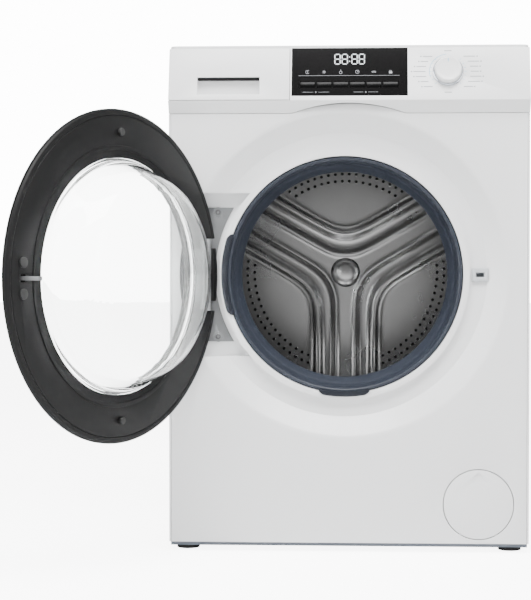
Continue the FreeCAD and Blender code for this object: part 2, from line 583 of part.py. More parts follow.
def make_hinge():
    plate_back = f"({FRONT} + pocket_depth)"
    plate_front = f"({plate_back} - hinge_plate_thick)"
    sector = []
    disc = rod("plate_disc", "hinge_plate_outer", "hinge_plate_thick", MOUTH_X, plate_front, MOUTH_Z)
    band = box("plate_band", f"{MOUTH_X} - hinge_plate_outer - 5", f"{MOUTH_X} - 60", plate_front, plate_back,
               f"{MOUTH_Z} - hinge_plate_half_height", f"{MOUTH_Z} + hinge_plate_half_height")
    core = rod("plate_core", "hinge_plate_inner", "hinge_plate_thick + 2", MOUTH_X, f"{plate_front} - 1",
               MOUTH_Z)
    sector.append(cut("hinge_sector", common("plate_sector", disc, band), core))
    for index in range(2):
        z = f"({MOUTH_Z} + {index * 2 - 1} * knuckle_rise - knuckle_height / 2)"
        sector.append(box(f"hinge_post_{index}", f"{HINGE_X} - 3", f"{HINGE_X} + 3", HINGE_Y,
                          f"{plate_front} + 1", z, f"{z} + knuckle_height"))
        sector.append(rod(f"knuckle_{index}", "knuckle_radius", "knuckle_height", HINGE_X, HINGE_Y, z, "z"))
    pin = rod("hinge_pin", "hinge_pin_radius", "2 * knuckle_rise + knuckle_height", HINGE_X, HINGE_Y,
              f"{MOUTH_Z} - knuckle_rise - knuckle_height / 2", "z")
    for index in range(2):
        z = f"{MOUTH_Z} + {index * 2 - 1} * hinge_screw_rise"
        sector.append(rod(f"screw_{index}", "screw_head_radius", "screw_head_height",
                          f"{MOUTH_X} - sqrt(hinge_screw_reach ^ 2 - hinge_screw_rise ^ 2) - 8",
                          f"{plate_front} - screw_head_height", z))
    node(fuse("hinge_plate", pin, *sector), "hinge_plate")


def make_lock():
    floor = f"({FRONT} + dish_depth)"
    x = f"({MOUTH_X} + lock_reach)"
    bezel = box("lock_bezel", f"{x} - lock_width / 2", f"{x} + lock_width / 2", f"{floor} - lock_proud",
                floor, f"{MOUTH_Z} - lock_height / 2", f"{MOUTH_Z} + lock_height / 2")
    neck = box("lock_neck", f"{x} - lock_width / 2 + 2", f"{x} + lock_width / 2 - 2", f"{floor} - 1",
               f"{floor} + lock_depth", f"{MOUTH_Z} - lock_height / 2 + 2", f"{MOUTH_Z} + lock_height / 2 - 2")
    slot = box("lock_slot", f"{x} - slot_width / 2", f"{x} + slot_width / 2", f"{floor} - lock_proud - 1",
               f"{floor} - lock_proud + slot_depth", f"{MOUTH_Z} - slot_height / 2",
               f"{MOUTH_Z} + slot_height / 2")
    node(cut("lock_module", fuse("lock_solid", bezel, neck), slot), "lock_module")


def door_notches(name):
    """Room in the shut door for the hinge posts and knuckles."""
    rooms = []
    for index in range(2):
        z = f"({MOUTH_Z} + {index * 2 - 1} * knuckle_rise)"
        half = "(knuckle_height / 2 + knuckle_gap)"
        rooms.append(box(f"{name}_notch_{index}", f"{HINGE_X} - notch_reach", f"{HINGE_X} + knuckle_radius + 2",
                         f"{DOOR_FACE} - door_thick - 1", f"{DOOR_FACE} + 1", f"{z} - {half}", f"{z} + {half}"))
    channel = "2 * (knuckle_rise + knuckle_height / 2 + knuckle_gap)"
    rooms.append(rod(f"{name}_channel", "knuckle_radius + 0.5", channel, HINGE_X, HINGE_Y,
                     f"{MOUTH_Z} - knuckle_rise - knuckle_height / 2 - knuckle_gap", "z"))
    return rooms


def make_door():
    ring = turned("outer_ring_turned", [
        ("door_inner_radius", "0"),
        ("door_radius - 3", "0"),
        ("door_radius", "-3"),
        ("door_radius", "-door_thick + 5"),
        ("door_radius - 9", "-door_thick"),
        ("glass_radius - 2", "-door_thick"),
        ("glass_radius - 2", "-door_thick + 3"),
        ("door_inner_radius", "-door_thick + 3"),
    ], MOUTH_X, DOOR_FACE, MOUTH_Z)
    outer_ring = cut("outer_ring", ring, *door_notches("outer"))
    node(swing(outer_ring), "door_outer_ring")

    inner = turned("inner_ring_turned", [
        ("glass_radius + 0.3", "-door_thick + 3"),
        ("glass_radius + 0.3", "0"),
        ("door_inner_radius", "0"),
        ("door_inner_radius", "-inner_ring_thick"),
        ("glass_radius + 10", "-inner_ring_thick"),
        ("glass_radius + 10", "-door_thick + 3"),
    ], MOUTH_X, DOOR_FACE, MOUTH_Z)
    hook_x = f"({MOUTH_X} + lock_reach)"
    hook_room = box("hook_room", f"{hook_x} - hook_hole / 2", f"{hook_x} + hook_hole / 2",
                    f"{DOOR_FACE} - door_thick + 3.5", f"{DOOR_FACE} + 1",
                    f"{MOUTH_Z} - hook_hole / 2", f"{MOUTH_Z} + hook_hole / 2")
    inner_ring = cut("inner_ring", inner, hook_room, *door_notches("inner"))
    node(swing(inner_ring), "door_inner_ring")

    wall = "glass_wall"
    bowl = turned("bowl_turned", [
        ("glass_radius", "-door_thick + 3"),
        ("glass_radius", "0"),
        ("glass_mid_radius", "glass_mid_depth"),
        ("glass_deep_radius", "glass_deep_depth"),
        ("glass_end_radius", "glass_depth"),
        ("0", "glass_depth + 4"),
        ("0", f"glass_depth + 4 - {wall}"),
        (f"glass_end_radius - {wall} * 0.6", f"glass_depth - {wall}"),
        (f"glass_deep_radius - {wall}", f"glass_deep_depth - {wall} * 0.6"),
        (f"glass_mid_radius - {wall}", "glass_mid_depth"),
        (f"glass_radius - {wall}", "0"),
        (f"glass_radius - {wall}", "-door_thick + 3"),
    ], MOUTH_X, DOOR_FACE, MOUTH_Z)
    node(swing(bowl, MOUTH_X, DOOR_FACE, MOUTH_Z), "door_glass")

    leaf_half = "(knuckle_rise - knuckle_height / 2 - knuckle_gap)"
    leaf = box("leaf_plate", HINGE_X, f"{HINGE_X} + leaf_reach", DOOR_FACE, f"{DOOR_FACE} + leaf_thick",
               f"{MOUTH_Z} - {leaf_half}", f"{MOUTH_Z} + {leaf_half}")
    barrel = rod("leaf_barrel", "knuckle_radius", f"2 * {leaf_half}", HINGE_X, HINGE_Y,
                 f"{MOUTH_Z} - {leaf_half}", "z")
    bore = rod("leaf_bore", "hinge_pin_radius + running_gap", f"2 * {leaf_half} + 2", HINGE_X, HINGE_Y,
               f"{MOUTH_Z} - {leaf_half} - 1", "z")
    node(swing(cut("door_leaf", fuse("leaf_solid", leaf, barrel), bore)), "hinge_leaf")

    bumpers = []
    for index in range(2):
        side = index * 2 - 1
        bumpers.append(rod(f"bumper_{index}", "bumper_radius", "bumper_height", MOUTH_X, DOOR_FACE,
                           f"{MOUTH_Z} + {side} * bumper_reach"))
        bumpers.append(rod(f"stop_{index}", "stop_radius", "stop_height", hook_x, DOOR_FACE,
                           f"{MOUTH_Z} + {side} * stop_rise"))
    node(swing(fuse("bumper_set", *bumpers)), "door_bumpers")

    shank = box("hook_shank", f"{hook_x} - hook_thick / 2", f"{hook_x} + hook_thick / 2",
                f"{DOOR_FACE} - door_thick + 3.5 + 0.5", f"{DOOR_FACE} + hook_length",
                f"{MOUTH_Z} - hook_height / 2", f"{MOUTH_Z} + hook_height / 2")
    nose = box("hook_nose", f"{hook_x} - hook_thick / 2 - 3", f"{hook_x}", f"{DOOR_FACE} + hook_length - 6",
               f"{DOOR_FACE} + hook_length", f"{MOUTH_Z} - hook_height / 2", f"{MOUTH_Z} + hook_height / 2")
    pivot = rod("hook_pivot", "hook_pin_radius", "hook_hole - 2 * piece_gap", hook_x,
                f"{DOOR_FACE} - hook_pivot_depth", f"{MOUTH_Z} - hook_hole / 2 + piece_gap", "z")
    node(swing(fuse("hook_lever", shank, nose, pivot)), "door_hook")


# ---------------------------------------------------------------- gasket, tub and drum


def make_gasket():
    profile = [
        ("gasket_radius", "gasket_front"),
        ("gasket_radius", "34"),
        ("gasket_lip_radius + 12", "52"),
        ("gasket_lip_radius + 5", "60"),
        ("tub_neck_radius - 14", "64"),
        ("tub_neck_radius", "64"),
        ("tub_neck_radius", "gasket_back"),
        ("tub_neck_radius - gasket_wall", "gasket_back"),
        ("tub_neck_radius - gasket_wall - 10", "66.5"),
        ("gasket_lip_radius", "64"),
        ("gasket_lip_radius", "58"),
        ("gasket_lip_radius + 7", "48"),
        ("gasket_radius - gasket_wall - 2", "32"),
        ("gasket_radius - gasket_wall - 2", "gasket_front"),
    ]
    node(turned("door_gasket", profile, MOUTH_X, FRONT, MOUTH_Z), "door_gasket")


def make_tub():
    front_half = turned("tub_front_half", [
        ("tub_neck_radius - tub_wall", "tub_neck_front"),
        ("tub_neck_radius", "tub_neck_front"),
        ("tub_neck_radius", "tub_front"),
        ("tub_radius", "tub_front"),
        ("tub_radius", "tub_split"),
        ("tub_radius - tub_wall", "tub_split"),
        ("tub_radius - tub_wall", "tub_front + tub_wall"),
        ("tub_neck_radius - tub_wall", "tub_front + tub_wall"),
    ], MOUTH_X, FRONT, MOUTH_Z)
    node(front_half, "tub_front")
    rear_half = turned("tub_rear_half", [
        ("tub_radius - tub_wall", "tub_split"),
        ("tub_radius", "tub_split"),
        ("tub_radius", "tub_back + tub_back_thick"),
        ("tub_hub_radius", "tub_back + tub_back_thick"),
        ("tub_hub_radius", "tub_hub_back"),
        ("bearing_radius", "tub_hub_back"),
        ("bearing_radius", "tub_back"),
        ("tub_radius - tub_wall", "tub_back"),
    ], MOUTH_X, FRONT, MOUTH_Z)
    low = f"({MOUTH_Z} + spring_hook_rise)"
    brackets = []
    for index in range(2):
        x = f"({MOUTH_X} + {index * 2 - 1} * spring_spread)"
        brackets.append(box(f"spring_bracket_{index}", f"{x} - spring_bracket_width / 2",
                            f"{x} + spring_bracket_width / 2", f"{SPRING_Y} - 12", f"{SPRING_Y} + 12",
                            f"{MOUTH_Z} + 120", low))
    saddle = rod("bracket_saddle", "tub_radius - 1", "body_depth", MOUTH_X, FRONT, MOUTH_Z)
    bracket_pair = cut("bracket_pair", fuse("bracket_blocks", *brackets), saddle)
    node(fuse("tub_rear", rear_half, bracket_pair), "tub_rear")
    bearings = turned("bearing_pair", [
        ("shaft_radius + running_gap", "tub_back"),
        ("bearing_radius", "tub_back"),
        ("bearing_radius", "tub_hub_back"),
        ("shaft_radius + running_gap", "tub_hub_back"),
    ], MOUTH_X, FRONT, MOUTH_Z)
    node(bearings, "shaft_bearings")
    ballast = turned("ballast_ring", [
        ("tub_neck_radius + 6", "tub_front - ballast_thick"),
        ("ballast_radius", "tub_front - ballast_thick"),
        ("ballast_radius", "tub_front"),
        ("tub_neck_radius + 6", "tub_front"),
    ], MOUTH_X, FRONT, MOUTH_Z)
    node(ballast, "counterweight_front")
    block = box("ballast_block", f"{MOUTH_X} - 0.35 * top_ballast_width",
                f"{MOUTH_X} + 0.65 * top_ballast_width",
                f"{FRONT} + top_ballast_front", f"{FRONT} + top_ballast_back",
                f"{MOUTH_Z} + top_ballast_base", f"{MOUTH_Z} + top_ballast_rise")
    saddle = rod("ballast_saddle", "tub_radius", "body_depth", MOUTH_X, FRONT, MOUTH_Z)
    node(cut("counterweight_top", block, saddle), "counterweight_top")
    rods = []
    for index in range(2):
        x = f"{MOUTH_X} + {index * 2 - 1} * heater_spread"
        z = f"{MOUTH_Z} - (drum_radius + tub_radius - tub_wall) / 2 + 0.5"
        rods.append(rod(f"heater_rod_{index}", "heater_radius", "tub_back - heater_front", x,
                        f"{FRONT} + heater_front", z))
    bridge = box("heater_bridge", f"{MOUTH_X} - heater_spread", f"{MOUTH_X} + heater_spread",
                 f"{FRONT} + heater_front", f"{FRONT} + heater_front + 2 * heater_radius",
                 f"{MOUTH_Z} - (drum_radius + tub_radius - tub_wall) / 2 - heater_radius / 2 + 0.5",
                 f"{MOUTH_Z} - (drum_radius + tub_radius - tub_wall) / 2 + heater_radius / 2 + 0.5")
    node(fuse("heater", bridge, *rods), "heater")


def make_drum():
    shell = turned("drum_shell_turned", [
        ("drum_mouth_radius", "drum_front"),
        ("drum_radius", "drum_front"),
        ("drum_radius", "drum_back"),
        ("drum_radius - drum_wall", "drum_back"),
        ("drum_radius - drum_wall", "drum_front + drum_wall"),
        ("drum_mouth_radius", "drum_front + drum_wall"),
    ], MOUTH_X, FRONT, MOUTH_Z)
    node(shell, "drum_shell")
    back = turned("drum_back_turned", [
        ("0", "drum_back - drum_back_thick - hub_cap_depth"),
        ("hub_cap_radius * 0.6", "drum_back - drum_back_thick - hub_cap_depth * 0.8"),
        ("hub_cap_radius", "drum_back - drum_back_thick"),
        ("drum_radius - drum_wall", "drum_back - drum_back_thick"),
        ("drum_radius - drum_wall", "drum_back"),
        ("0", "drum_back"),
    ], MOUTH_X, FRONT, MOUTH_Z)
    node(back, "drum_back")

    def lifter(name, index):
        angle = math.radians(30 + 120 * index)
        radius = "(drum_radius - lifter_height / 2)"
        blade = doc.addObject("Part::Box", name)
        blade.Placement = FreeCAD.Placement(
            FreeCAD.Vector(), FreeCAD.Rotation(FreeCAD.Vector(0, 1, 0), -math.degrees(angle)))
        bind(blade, "Length", "lifter_height")
        bind(blade, "Width", "lifter_length")
        bind(blade, "Height", "lifter_width")
        inner = "(drum_radius - lifter_height)"
        cosine = round(math.cos(angle), 9)
        sine = round(math.sin(angle), 9)
        return place(blade, f"{MOUTH_X} + {cosine} * {inner} + {sine} * lifter_width / 2",
                     f"{FRONT} + (drum_front + drum_back - lifter_length) / 2",
                     f"{MOUTH_Z} + {sine} * {inner} - {cosine} * lifter_width / 2")

    blades = copies("lifter_blade", 3, lifter)
    limit = rod("lifter_limit", "drum_radius - drum_wall", "body_depth", MOUTH_X, FRONT, MOUTH_Z)
    node(common("lifters", fuse("lifter_blades", *blades), limit), "lifters")

    def arm(name, index):
        angle = math.radians(-90 + 120 * index)
        piece = doc.addObject("Part::Box", name)
        piece.Placement = FreeCAD.Placement(
            FreeCAD.Vector(), FreeCAD.Rotation(FreeCAD.Vector(0, 1, 0), -math.degrees(angle)))
        bind(piece, "Length", "drum_radius - 4")
        bind(piece, "Width", "spider_thick")
        bind(piece, "Height", "spider_arm_width")
        cosine = round(math.cos(angle), 9)
        sine = round(math.sin(angle), 9)
        return place(piece, f"{MOUTH_X} + {sine} * spider_arm_width / 2", f"{FRONT} + drum_back",
                     f"{MOUTH_Z} - {cosine} * spider_arm_width / 2")

    arms = copies("spider_arm", 3, arm)
    hub = rod("spider_hub", "spider_hub_radius", "spider_thick + 2", MOUTH_X, f"{FRONT} + drum_back", MOUTH_Z)
    shaft = rod("drum_shaft", "shaft_radius", "shaft_back - drum_back", MOUTH_X, f"{FRONT} + drum_back", MOUTH_Z)
    node(fuse("spider", hub, shaft, *arms), "spider")
    pulley = turned("drum_pulley_turned", [
        ("shaft_radius", "pulley_front"),
        ("30", "pulley_front"),
        ("30", "pulley_front + pulley_width / 2 - pulley_web / 2"),
        ("pulley_radius - 6", "pulley_front + pulley_width / 2 - pulley_web / 2"),
        ("pulley_radius - 6", "pulley_front"),
        ("pulley_radius", "pulley_front"),
        ("pulley_radius", "pulley_front + pulley_width"),
        ("pulley_radius - 6", "pulley_front + pulley_width"),
        ("pulley_radius - 6", "pulley_front + pulley_width / 2 + pulley_web / 2"),
        ("30", "pulley_front + pulley_width / 2 + pulley_web / 2"),
        ("30", "pulley_front + pulley_width"),
        ("shaft_radius", "pulley_front + pulley_width"),
    ], MOUTH_X, FRONT, MOUTH_Z)
    node(pulley, "drum_pulley")


def make_motor():
    casing = rod("motor_casing", "motor_radius", "motor_back - motor_front", MOTOR_X, f"{FRONT} + motor_front",
                 MOTOR_Z)
    lugs = []
    for index in range(2):
        y = f"({FRONT} + motor_front + 15 + {index} * (motor_back - motor_front - 30 - motor_lug_length))"
        lugs.append(box(f"motor_lug_{index}", f"{MOTOR_X} - motor_lug_width / 2",
                        f"{MOTOR_X} + motor_lug_width / 2", y, f"{y} + motor_lug_length", MOTOR_Z, f"{MOUTH_Z} - tub_radius + 20"))
    core = rod("motor_core", "motor_radius / 2 + motor_core_gap", "motor_back - motor_front - 30", MOTOR_X,
               f"{FRONT} + motor_front + 15", MOTOR_Z)
    bore = rod("motor_bore", "motor_shaft_radius + running_gap", "60", MOTOR_X, f"{FRONT} + motor_back - 30",
               MOTOR_Z)
    saddle = rod("motor_saddle", "tub_radius", "body_depth", MOUTH_X, FRONT, MOUTH_Z)
    node(cut("motor_case", fuse("motor_solid", casing, *lugs), core, bore, saddle), "motor_case")
    armature = rod("rotor_core", "motor_radius / 2", "motor_back - motor_front - 36", MOTOR_X,
                   f"{FRONT} + motor_front + 18", MOTOR_Z)
    shaft = rod("rotor_shaft", "motor_shaft_radius", "pulley_front + pulley_width - motor_front - 30", MOTOR_X,
                f"{FRONT} + motor_front + 30", MOTOR_Z)
    wheel = rod("rotor_wheel", "motor_pulley_radius", "pulley_width", MOTOR_X, f"{FRONT} + pulley_front", MOTOR_Z)
    node(fuse("motor_rotor", armature, shaft, wheel), "motor_rotor")


def belt_loop(big, small, centre, apex):
    """Closed loop of two arcs and the two straight runs that touch both circles."""
    reach = apex - centre
    turn = math.atan2(reach.z, reach.x)
    spread = math.acos((big - small) / reach.Length)

    def touch(middle, radius, side):
        angle = turn + side * spread
        return middle + FreeCAD.Vector(radius * math.cos(angle), 0, radius * math.sin(angle))

    def far(middle, radius, angle):
        return middle + FreeCAD.Vector(radius * math.cos(angle), 0, radius * math.sin(angle))

    big_arc = Part.Arc(touch(centre, big, 1), far(centre, big, turn + math.pi), touch(centre, big, -1))
    small_arc = Part.Arc(touch(apex, small, -1), far(apex, small, turn), touch(apex, small, 1))
    runs = [
        Part.LineSegment(touch(centre, big, -1), touch(apex, small, -1)),
        Part.LineSegment(touch(apex, small, 1), touch(centre, big, 1)),
    ]
    return Part.Wire([big_arc.toShape(), runs[0].toShape(), small_arc.toShape(), runs[1].toShape()])


def make_belt():
    y = number(f"{FRONT} + pulley_front + 1")
    centre = FreeCAD.Vector(number(MOUTH_X), y, number(MOUTH_Z))
    apex = FreeCAD.Vector(number(MOTOR_X), y, number(MOTOR_Z))
    gap = number("belt_gap")
    thick = number("belt_thick")
    big = number("pulley_radius") + gap
    small = number("motor_pulley_radius") + gap
    inner = belt_loop(big, small, centre, apex)
    outer = belt_loop(big + thick, small + thick, centre, apex)
    band = Part.Face([outer, inner])
    if not band.isValid():
        band = Part.Face(outer).cut(Part.Face(inner)).Faces[0]
    belt = doc.addObject("Part::Feature", "drive_belt")
    belt.Shape = band.extrude(FreeCAD.Vector(0, number("pulley_width - 2"), 0))
    node(belt, "drive_belt")


# ---------------------------------------------------------------- suspension


def make_suspension():
    low = f"({MOUTH_Z} + spring_hook_rise)"
    springs = []
    for index in range(2):
        x = f"({MOUTH_X} + {index * 2 - 1} * spring_spread)"
        springs.append(rod(f"spring_{index}", "spring_radius", f"{SHELL_TOP} - rail_height - {low} - 0.5", x,
                           SPRING_Y, f"{low} + 0.5", "z"))
    node(fuse("suspension_springs", *springs), "suspension_springs")
    tubes = []
    stems = []
    for index in range(2):
        x = f"({MOUTH_X} + {index * 2 - 1} * damper_spread)"
        place_y = f"({FRONT} + damper_setback)"
        outer = rod(f"damper_outer_{index}", "damper_radius", "damper_height", x, place_y, BASE_FLOOR, "z")
        inner = rod(f"damper_inner_{index}", "damper_rod_radius + running_gap", "damper_height", x, place_y,
                    f"{BASE_FLOOR} + 8", "z")
        tubes.append(cut(f"damper_tube_{index}", outer, inner))
        stem_low = f"({BASE_FLOOR} + damper_height - damper_overlap)"
        stems.append(rod(f"damper_stem_{index}", "damper_rod_radius", f"{MOUTH_Z} - 150 - {stem_low}", x,
                         place_y, stem_low, "z"))
    node(fuse("damper_cylinders", *tubes), "damper_cylinders")
    stem_saddle = rod("stem_saddle", "tub_radius", "body_depth", MOUTH_X, FRONT, MOUTH_Z)
    node(cut("damper_rods", fuse("stem_pair", *stems), stem_saddle), "damper_rods")


# ---------------------------------------------------------------- water


def hose(name, points, radius):
    """A round hose along straight runs joined by tangent arcs."""
    corners = [FreeCAD.Vector(*[number(text) for text in point]) for point in points]
    edges = []
    start = corners[0]
    for before, corner, after in zip(corners, corners[1:], corners[2:]):
        back = (before - corner).normalize()
        ahead = (after - corner).normalize()
        shorter = min((before - corner).Length, (after - corner).Length)
        trim = 0.45 * shorter
        bend = trim * math.tan(back.getAngle(ahead) / 2)
        centre = corner + (back + ahead).normalize() * math.hypot(trim, bend)
        middle = centre + (corner - centre).normalize() * bend
        first = corner + back * trim
        last = corner + ahead * trim
        edges.append(Part.LineSegment(start, first).toShape())
        edges.append(Part.Arc(first, middle, last).toShape())
        start = last
    edges.append(Part.LineSegment(start, corners[-1]).toShape())
    path = Part.Wire(edges)
    direction = corners[1] - corners[0]
    section = Part.Wire([Part.makeCircle(number(radius), corners[0], direction)])
    piece = doc.addObject("Part::Feature", name)
    piece.Shape = path.makePipeShell([section], True, False)
    return node(piece, name)


def make_water(tray_floor):
    flap = turned("service_flap", [
        ("0", "0"), ("flap_radius", "0"), ("flap_radius", "flap_thick"), ("0", "flap_thick"),
    ], "pump_x", FRONT, "pump_rise")
    dimple = rod("flap_dimple", "6.6", "1.6", "pump_x", f"{FRONT} - 0.1", "pump_rise + flap_radius - 12.7")
    pivot_z = "(pump_rise - flap_hinge_drop)"
    notches = []
    for name, low in (("notch_left", "(pump_x - flap_radius)"), ("notch_right", "(pump_x + flap_notch_reach)")):
        notches.append(box(name, low, f"{low} + flap_radius - flap_notch_reach", f"{FRONT} - 1",
                           f"{FRONT} + flap_thick + 1", f"{pivot_z} - flap_radius", f"{pivot_z} + flap_notch_rise"))
    pin = rod("flap_pin", "flap_pin_radius", "2 * flap_pin_reach", "pump_x - flap_pin_reach",
              f"{FRONT} + flap_thick / 2", pivot_z, "x")
    node(fuse("service_door", cut("flap_plate", flap, dimple, *notches), pin), "service_door")
    plug = turned("filter_turned", [
        ("0", "flap_thick + 4"),
        ("filter_knob_radius", "flap_thick + 4"),
        ("filter_knob_radius", "flap_recess - 1"),
        ("filter_radius", "flap_recess - 1"),
        ("filter_radius", "60"),
        ("0", "60"),
    ], "pump_x", FRONT, "pump_rise")
    node(plug, "pump_filter")
    body = turned("pump_turned", [
        ("filter_radius + filter_gap", "flap_recess + cup_wall"),
        ("pump_radius", "flap_recess + cup_wall"),
        ("pump_radius", "pump_back"),
        ("0", "pump_back"),
        ("0", "64"),
        ("filter_radius + filter_gap", "64"),
    ], "pump_x", FRONT, "pump_rise")
    foot = box("pump_foot", "pump_x - pump_foot_width / 2", "pump_x + pump_foot_width / 2",
               f"{FRONT} + pump_front", f"{FRONT} + pump_back - 10", BASE_FLOOR, "pump_rise - 20")
    pipe = rod("drain_pipe", "drain_radius + neck_step", "body_depth - pump_back + 1", "pump_x",
               f"{FRONT} + pump_back - 1", "pump_rise")
    spigot = rod("drain_spigot", "drain_radius", "spigot_proud + 1", "pump_x", f"{BACK} - 1", "pump_rise")
    node(fuse("drain_pump", body, foot, pipe, spigot), "drain_pump")
    sump_x = f"({MOUTH_X} + sump_offset)"
    sump_y = f"({FRONT} + sump_setback)"
    sump_top = f"({MOUTH_Z} - sqrt(tub_radius ^ 2 - sump_offset ^ 2) - 8)"
    hose("sump_hose", [
        (sump_x, sump_y, sump_top), (sump_x, sump_y, "pump_rise"),
        ("pump_x - pump_radius + 1", sump_y, "pump_rise"),
    ], "sump_hose_radius")
    valve_z = f"({FASCIA_TOP} - valve_drop)"
    valve_back = f"({BACK} - shell_wall)"
    valve_body = box("valve_body", "valve_x - valve_width / 2", "valve_x + valve_width / 2",
                     f"{valve_back} - valve_depth", valve_back, f"{valve_z} - 22", f"{valve_z} + 22")
    valve_neck = rod("valve_neck", "valve_radius + neck_step", "shell_wall + 1", "valve_x", f"{valve_back} - 1",
                     valve_z)
    valve_pin = rod("valve_pin", "valve_radius", "valve_proud + 1", "valve_x", f"{BACK} - 1", valve_z)
    node(fuse("inlet_valve", valve_body, valve_neck, valve_pin), "inlet_valve")
    hose_y = f"({valve_back} - valve_depth / 2)"
    hose_z = f"({tray_floor} + 22)"
    case_back = f"({FRONT} + fascia_depth + drawer_depth + 2 + housing_wall)"
    hose("inlet_hose", [
        ("valve_x - valve_width / 2", hose_y, valve_z),
        (f"-{SIDE} + 130", hose_y, valve_z),
        (f"-{SIDE} + 130", case_back, hose_z),
    ], "inlet_hose_radius")
    hose_x = "dispenser_hose_x"
    hose_low = f"({MOUTH_Z} + sqrt(tub_radius ^ 2 - (dispenser_hose_x + door_offset) ^ 2) + 14)"
    case_floor = f"({tray_floor} - tray_gap - housing_wall)"
    downpipe = rod("dispenser_hose", "dispenser_hose_radius", f"{case_floor} - {hose_low}", f"-{hose_x}",
                   f"{FRONT} + 150", hose_low, "z")
    node(downpipe, "dispenser_hose")


make_cabinet()
make_base()
make_worktop()
make_front_panel()
make_rear()
make_fascia()
make_knob()
floor_of_tray = make_drawer()
make_hinge()
make_lock()
make_door()
make_gasket()
make_tub()
make_drum()
make_motor()
make_belt()
make_suspension()
make_water(floor_of_tray)
doc.recompute()

for item in doc.Objects:
    for fault in ("Invalid", "Error"):
        if fault in item.State:
            raise RuntimeError(f"{item.Name} is {item.State}")
os.makedirs("parts", exist_ok=True)
for piece in node_list:
    if piece.Shape.isNull() or not piece.Shape.isValid():
        raise RuntimeError(f"{piece.Label} has no valid shape")
for piece in node_list:
    piece.Shape.exportStep(f"parts/{piece.Label}.step")
print(len(node_list), "sub-parts")
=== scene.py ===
import json
import math
import bmesh
import bpy
from mathutils import Matrix, Vector


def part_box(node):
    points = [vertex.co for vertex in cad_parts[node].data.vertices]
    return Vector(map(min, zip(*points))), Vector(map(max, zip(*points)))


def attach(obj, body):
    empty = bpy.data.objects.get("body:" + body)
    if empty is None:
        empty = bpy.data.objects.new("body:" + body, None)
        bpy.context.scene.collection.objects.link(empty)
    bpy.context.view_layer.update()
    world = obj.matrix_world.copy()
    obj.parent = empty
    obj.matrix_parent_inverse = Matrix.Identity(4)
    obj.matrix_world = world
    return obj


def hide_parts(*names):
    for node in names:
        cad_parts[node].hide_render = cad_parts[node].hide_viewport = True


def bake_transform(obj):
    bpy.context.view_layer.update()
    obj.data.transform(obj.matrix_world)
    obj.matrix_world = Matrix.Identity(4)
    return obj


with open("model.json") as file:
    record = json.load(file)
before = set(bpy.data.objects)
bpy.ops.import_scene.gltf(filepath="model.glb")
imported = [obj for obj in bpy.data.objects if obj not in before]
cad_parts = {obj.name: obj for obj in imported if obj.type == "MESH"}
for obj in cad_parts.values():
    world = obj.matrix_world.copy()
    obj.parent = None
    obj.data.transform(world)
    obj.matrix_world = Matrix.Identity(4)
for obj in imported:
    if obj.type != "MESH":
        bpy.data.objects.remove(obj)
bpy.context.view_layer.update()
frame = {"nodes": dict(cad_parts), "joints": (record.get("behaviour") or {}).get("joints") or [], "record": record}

scene = bpy.context.scene
nodes = frame["nodes"]
slotOf = {entry["node"]: entry["material_slot"] for entry in frame["record"]["subparts"]}
bodies = frame["record"]["behaviour"]["bodies"]
bodyOf = {node: body for body, members in bodies.items() for node in members}
joints = {joint["name"]: joint for joint in frame["joints"]}

# places that everything else is laid out from, all read from the frame
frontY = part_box("front_panel")[0].y
gasketLow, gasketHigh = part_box("door_gasket")
mouthX = (gasketLow.x + gasketHigh.x) / 2
mouthZ = (gasketLow.z + gasketHigh.z) / 2
hinge = Vector(joints["door_hinge"]["pos_m"])
openAngle = math.radians(joints["door_hinge"]["range_deg"][0])
openDoor = Matrix.Translation(hinge) @ Matrix.Rotation(openAngle, 4, "Z") @ Matrix.Translation(-hinge)
doorFaceY = frontY - 0.010                            # the shut door's depths count from here
faceNormal = Vector(joints["knob_turn"]["axis"])      # into the fascia
lean = math.asin(-faceNormal.z)
faceUp = Vector((0, math.sin(lean), math.cos(lean)))
print("frame loaded")


# shader groups
def newGroup(name, inputs, outputs):
    group = bpy.data.node_groups.new(name, "ShaderNodeTree")
    for label, kind, value in inputs:
        socket = group.interface.new_socket(label, in_out="INPUT", socket_type=kind)
        socket.default_value = value
    for label, kind in outputs:
        group.interface.new_socket(label, in_out="OUTPUT", socket_type=kind)
    return group, group.nodes.new("NodeGroupInput"), group.nodes.new("NodeGroupOutput")


def grainGroup():
    # a fine moulded or sprayed texture, as a normal
    group, given, result = newGroup(
        "surfaceGrain",
        [("Scale", "NodeSocketFloat", 900.0), ("Strength", "NodeSocketFloat", 0.15),
         ("Distance", "NodeSocketFloat", 0.0002)],
        [("Normal", "NodeSocketVector")])
    coords = group.nodes.new("ShaderNodeTexCoord")
    noise = group.nodes.new("ShaderNodeTexNoise")
    noise.inputs["Detail"].default_value = 2.0
    bump = group.nodes.new("ShaderNodeBump")
    group.links.new(coords.outputs["Object"], noise.inputs["Vector"])
    group.links.new(given.outputs["Scale"], noise.inputs["Scale"])
    group.links.new(noise.outputs["Fac"], bump.inputs["Height"])
    group.links.new(given.outputs["Strength"], bump.inputs["Strength"])
    group.links.new(given.outputs["Distance"], bump.inputs["Distance"])
    group.links.new(bump.outputs["Normal"], result.inputs["Normal"])
    return group


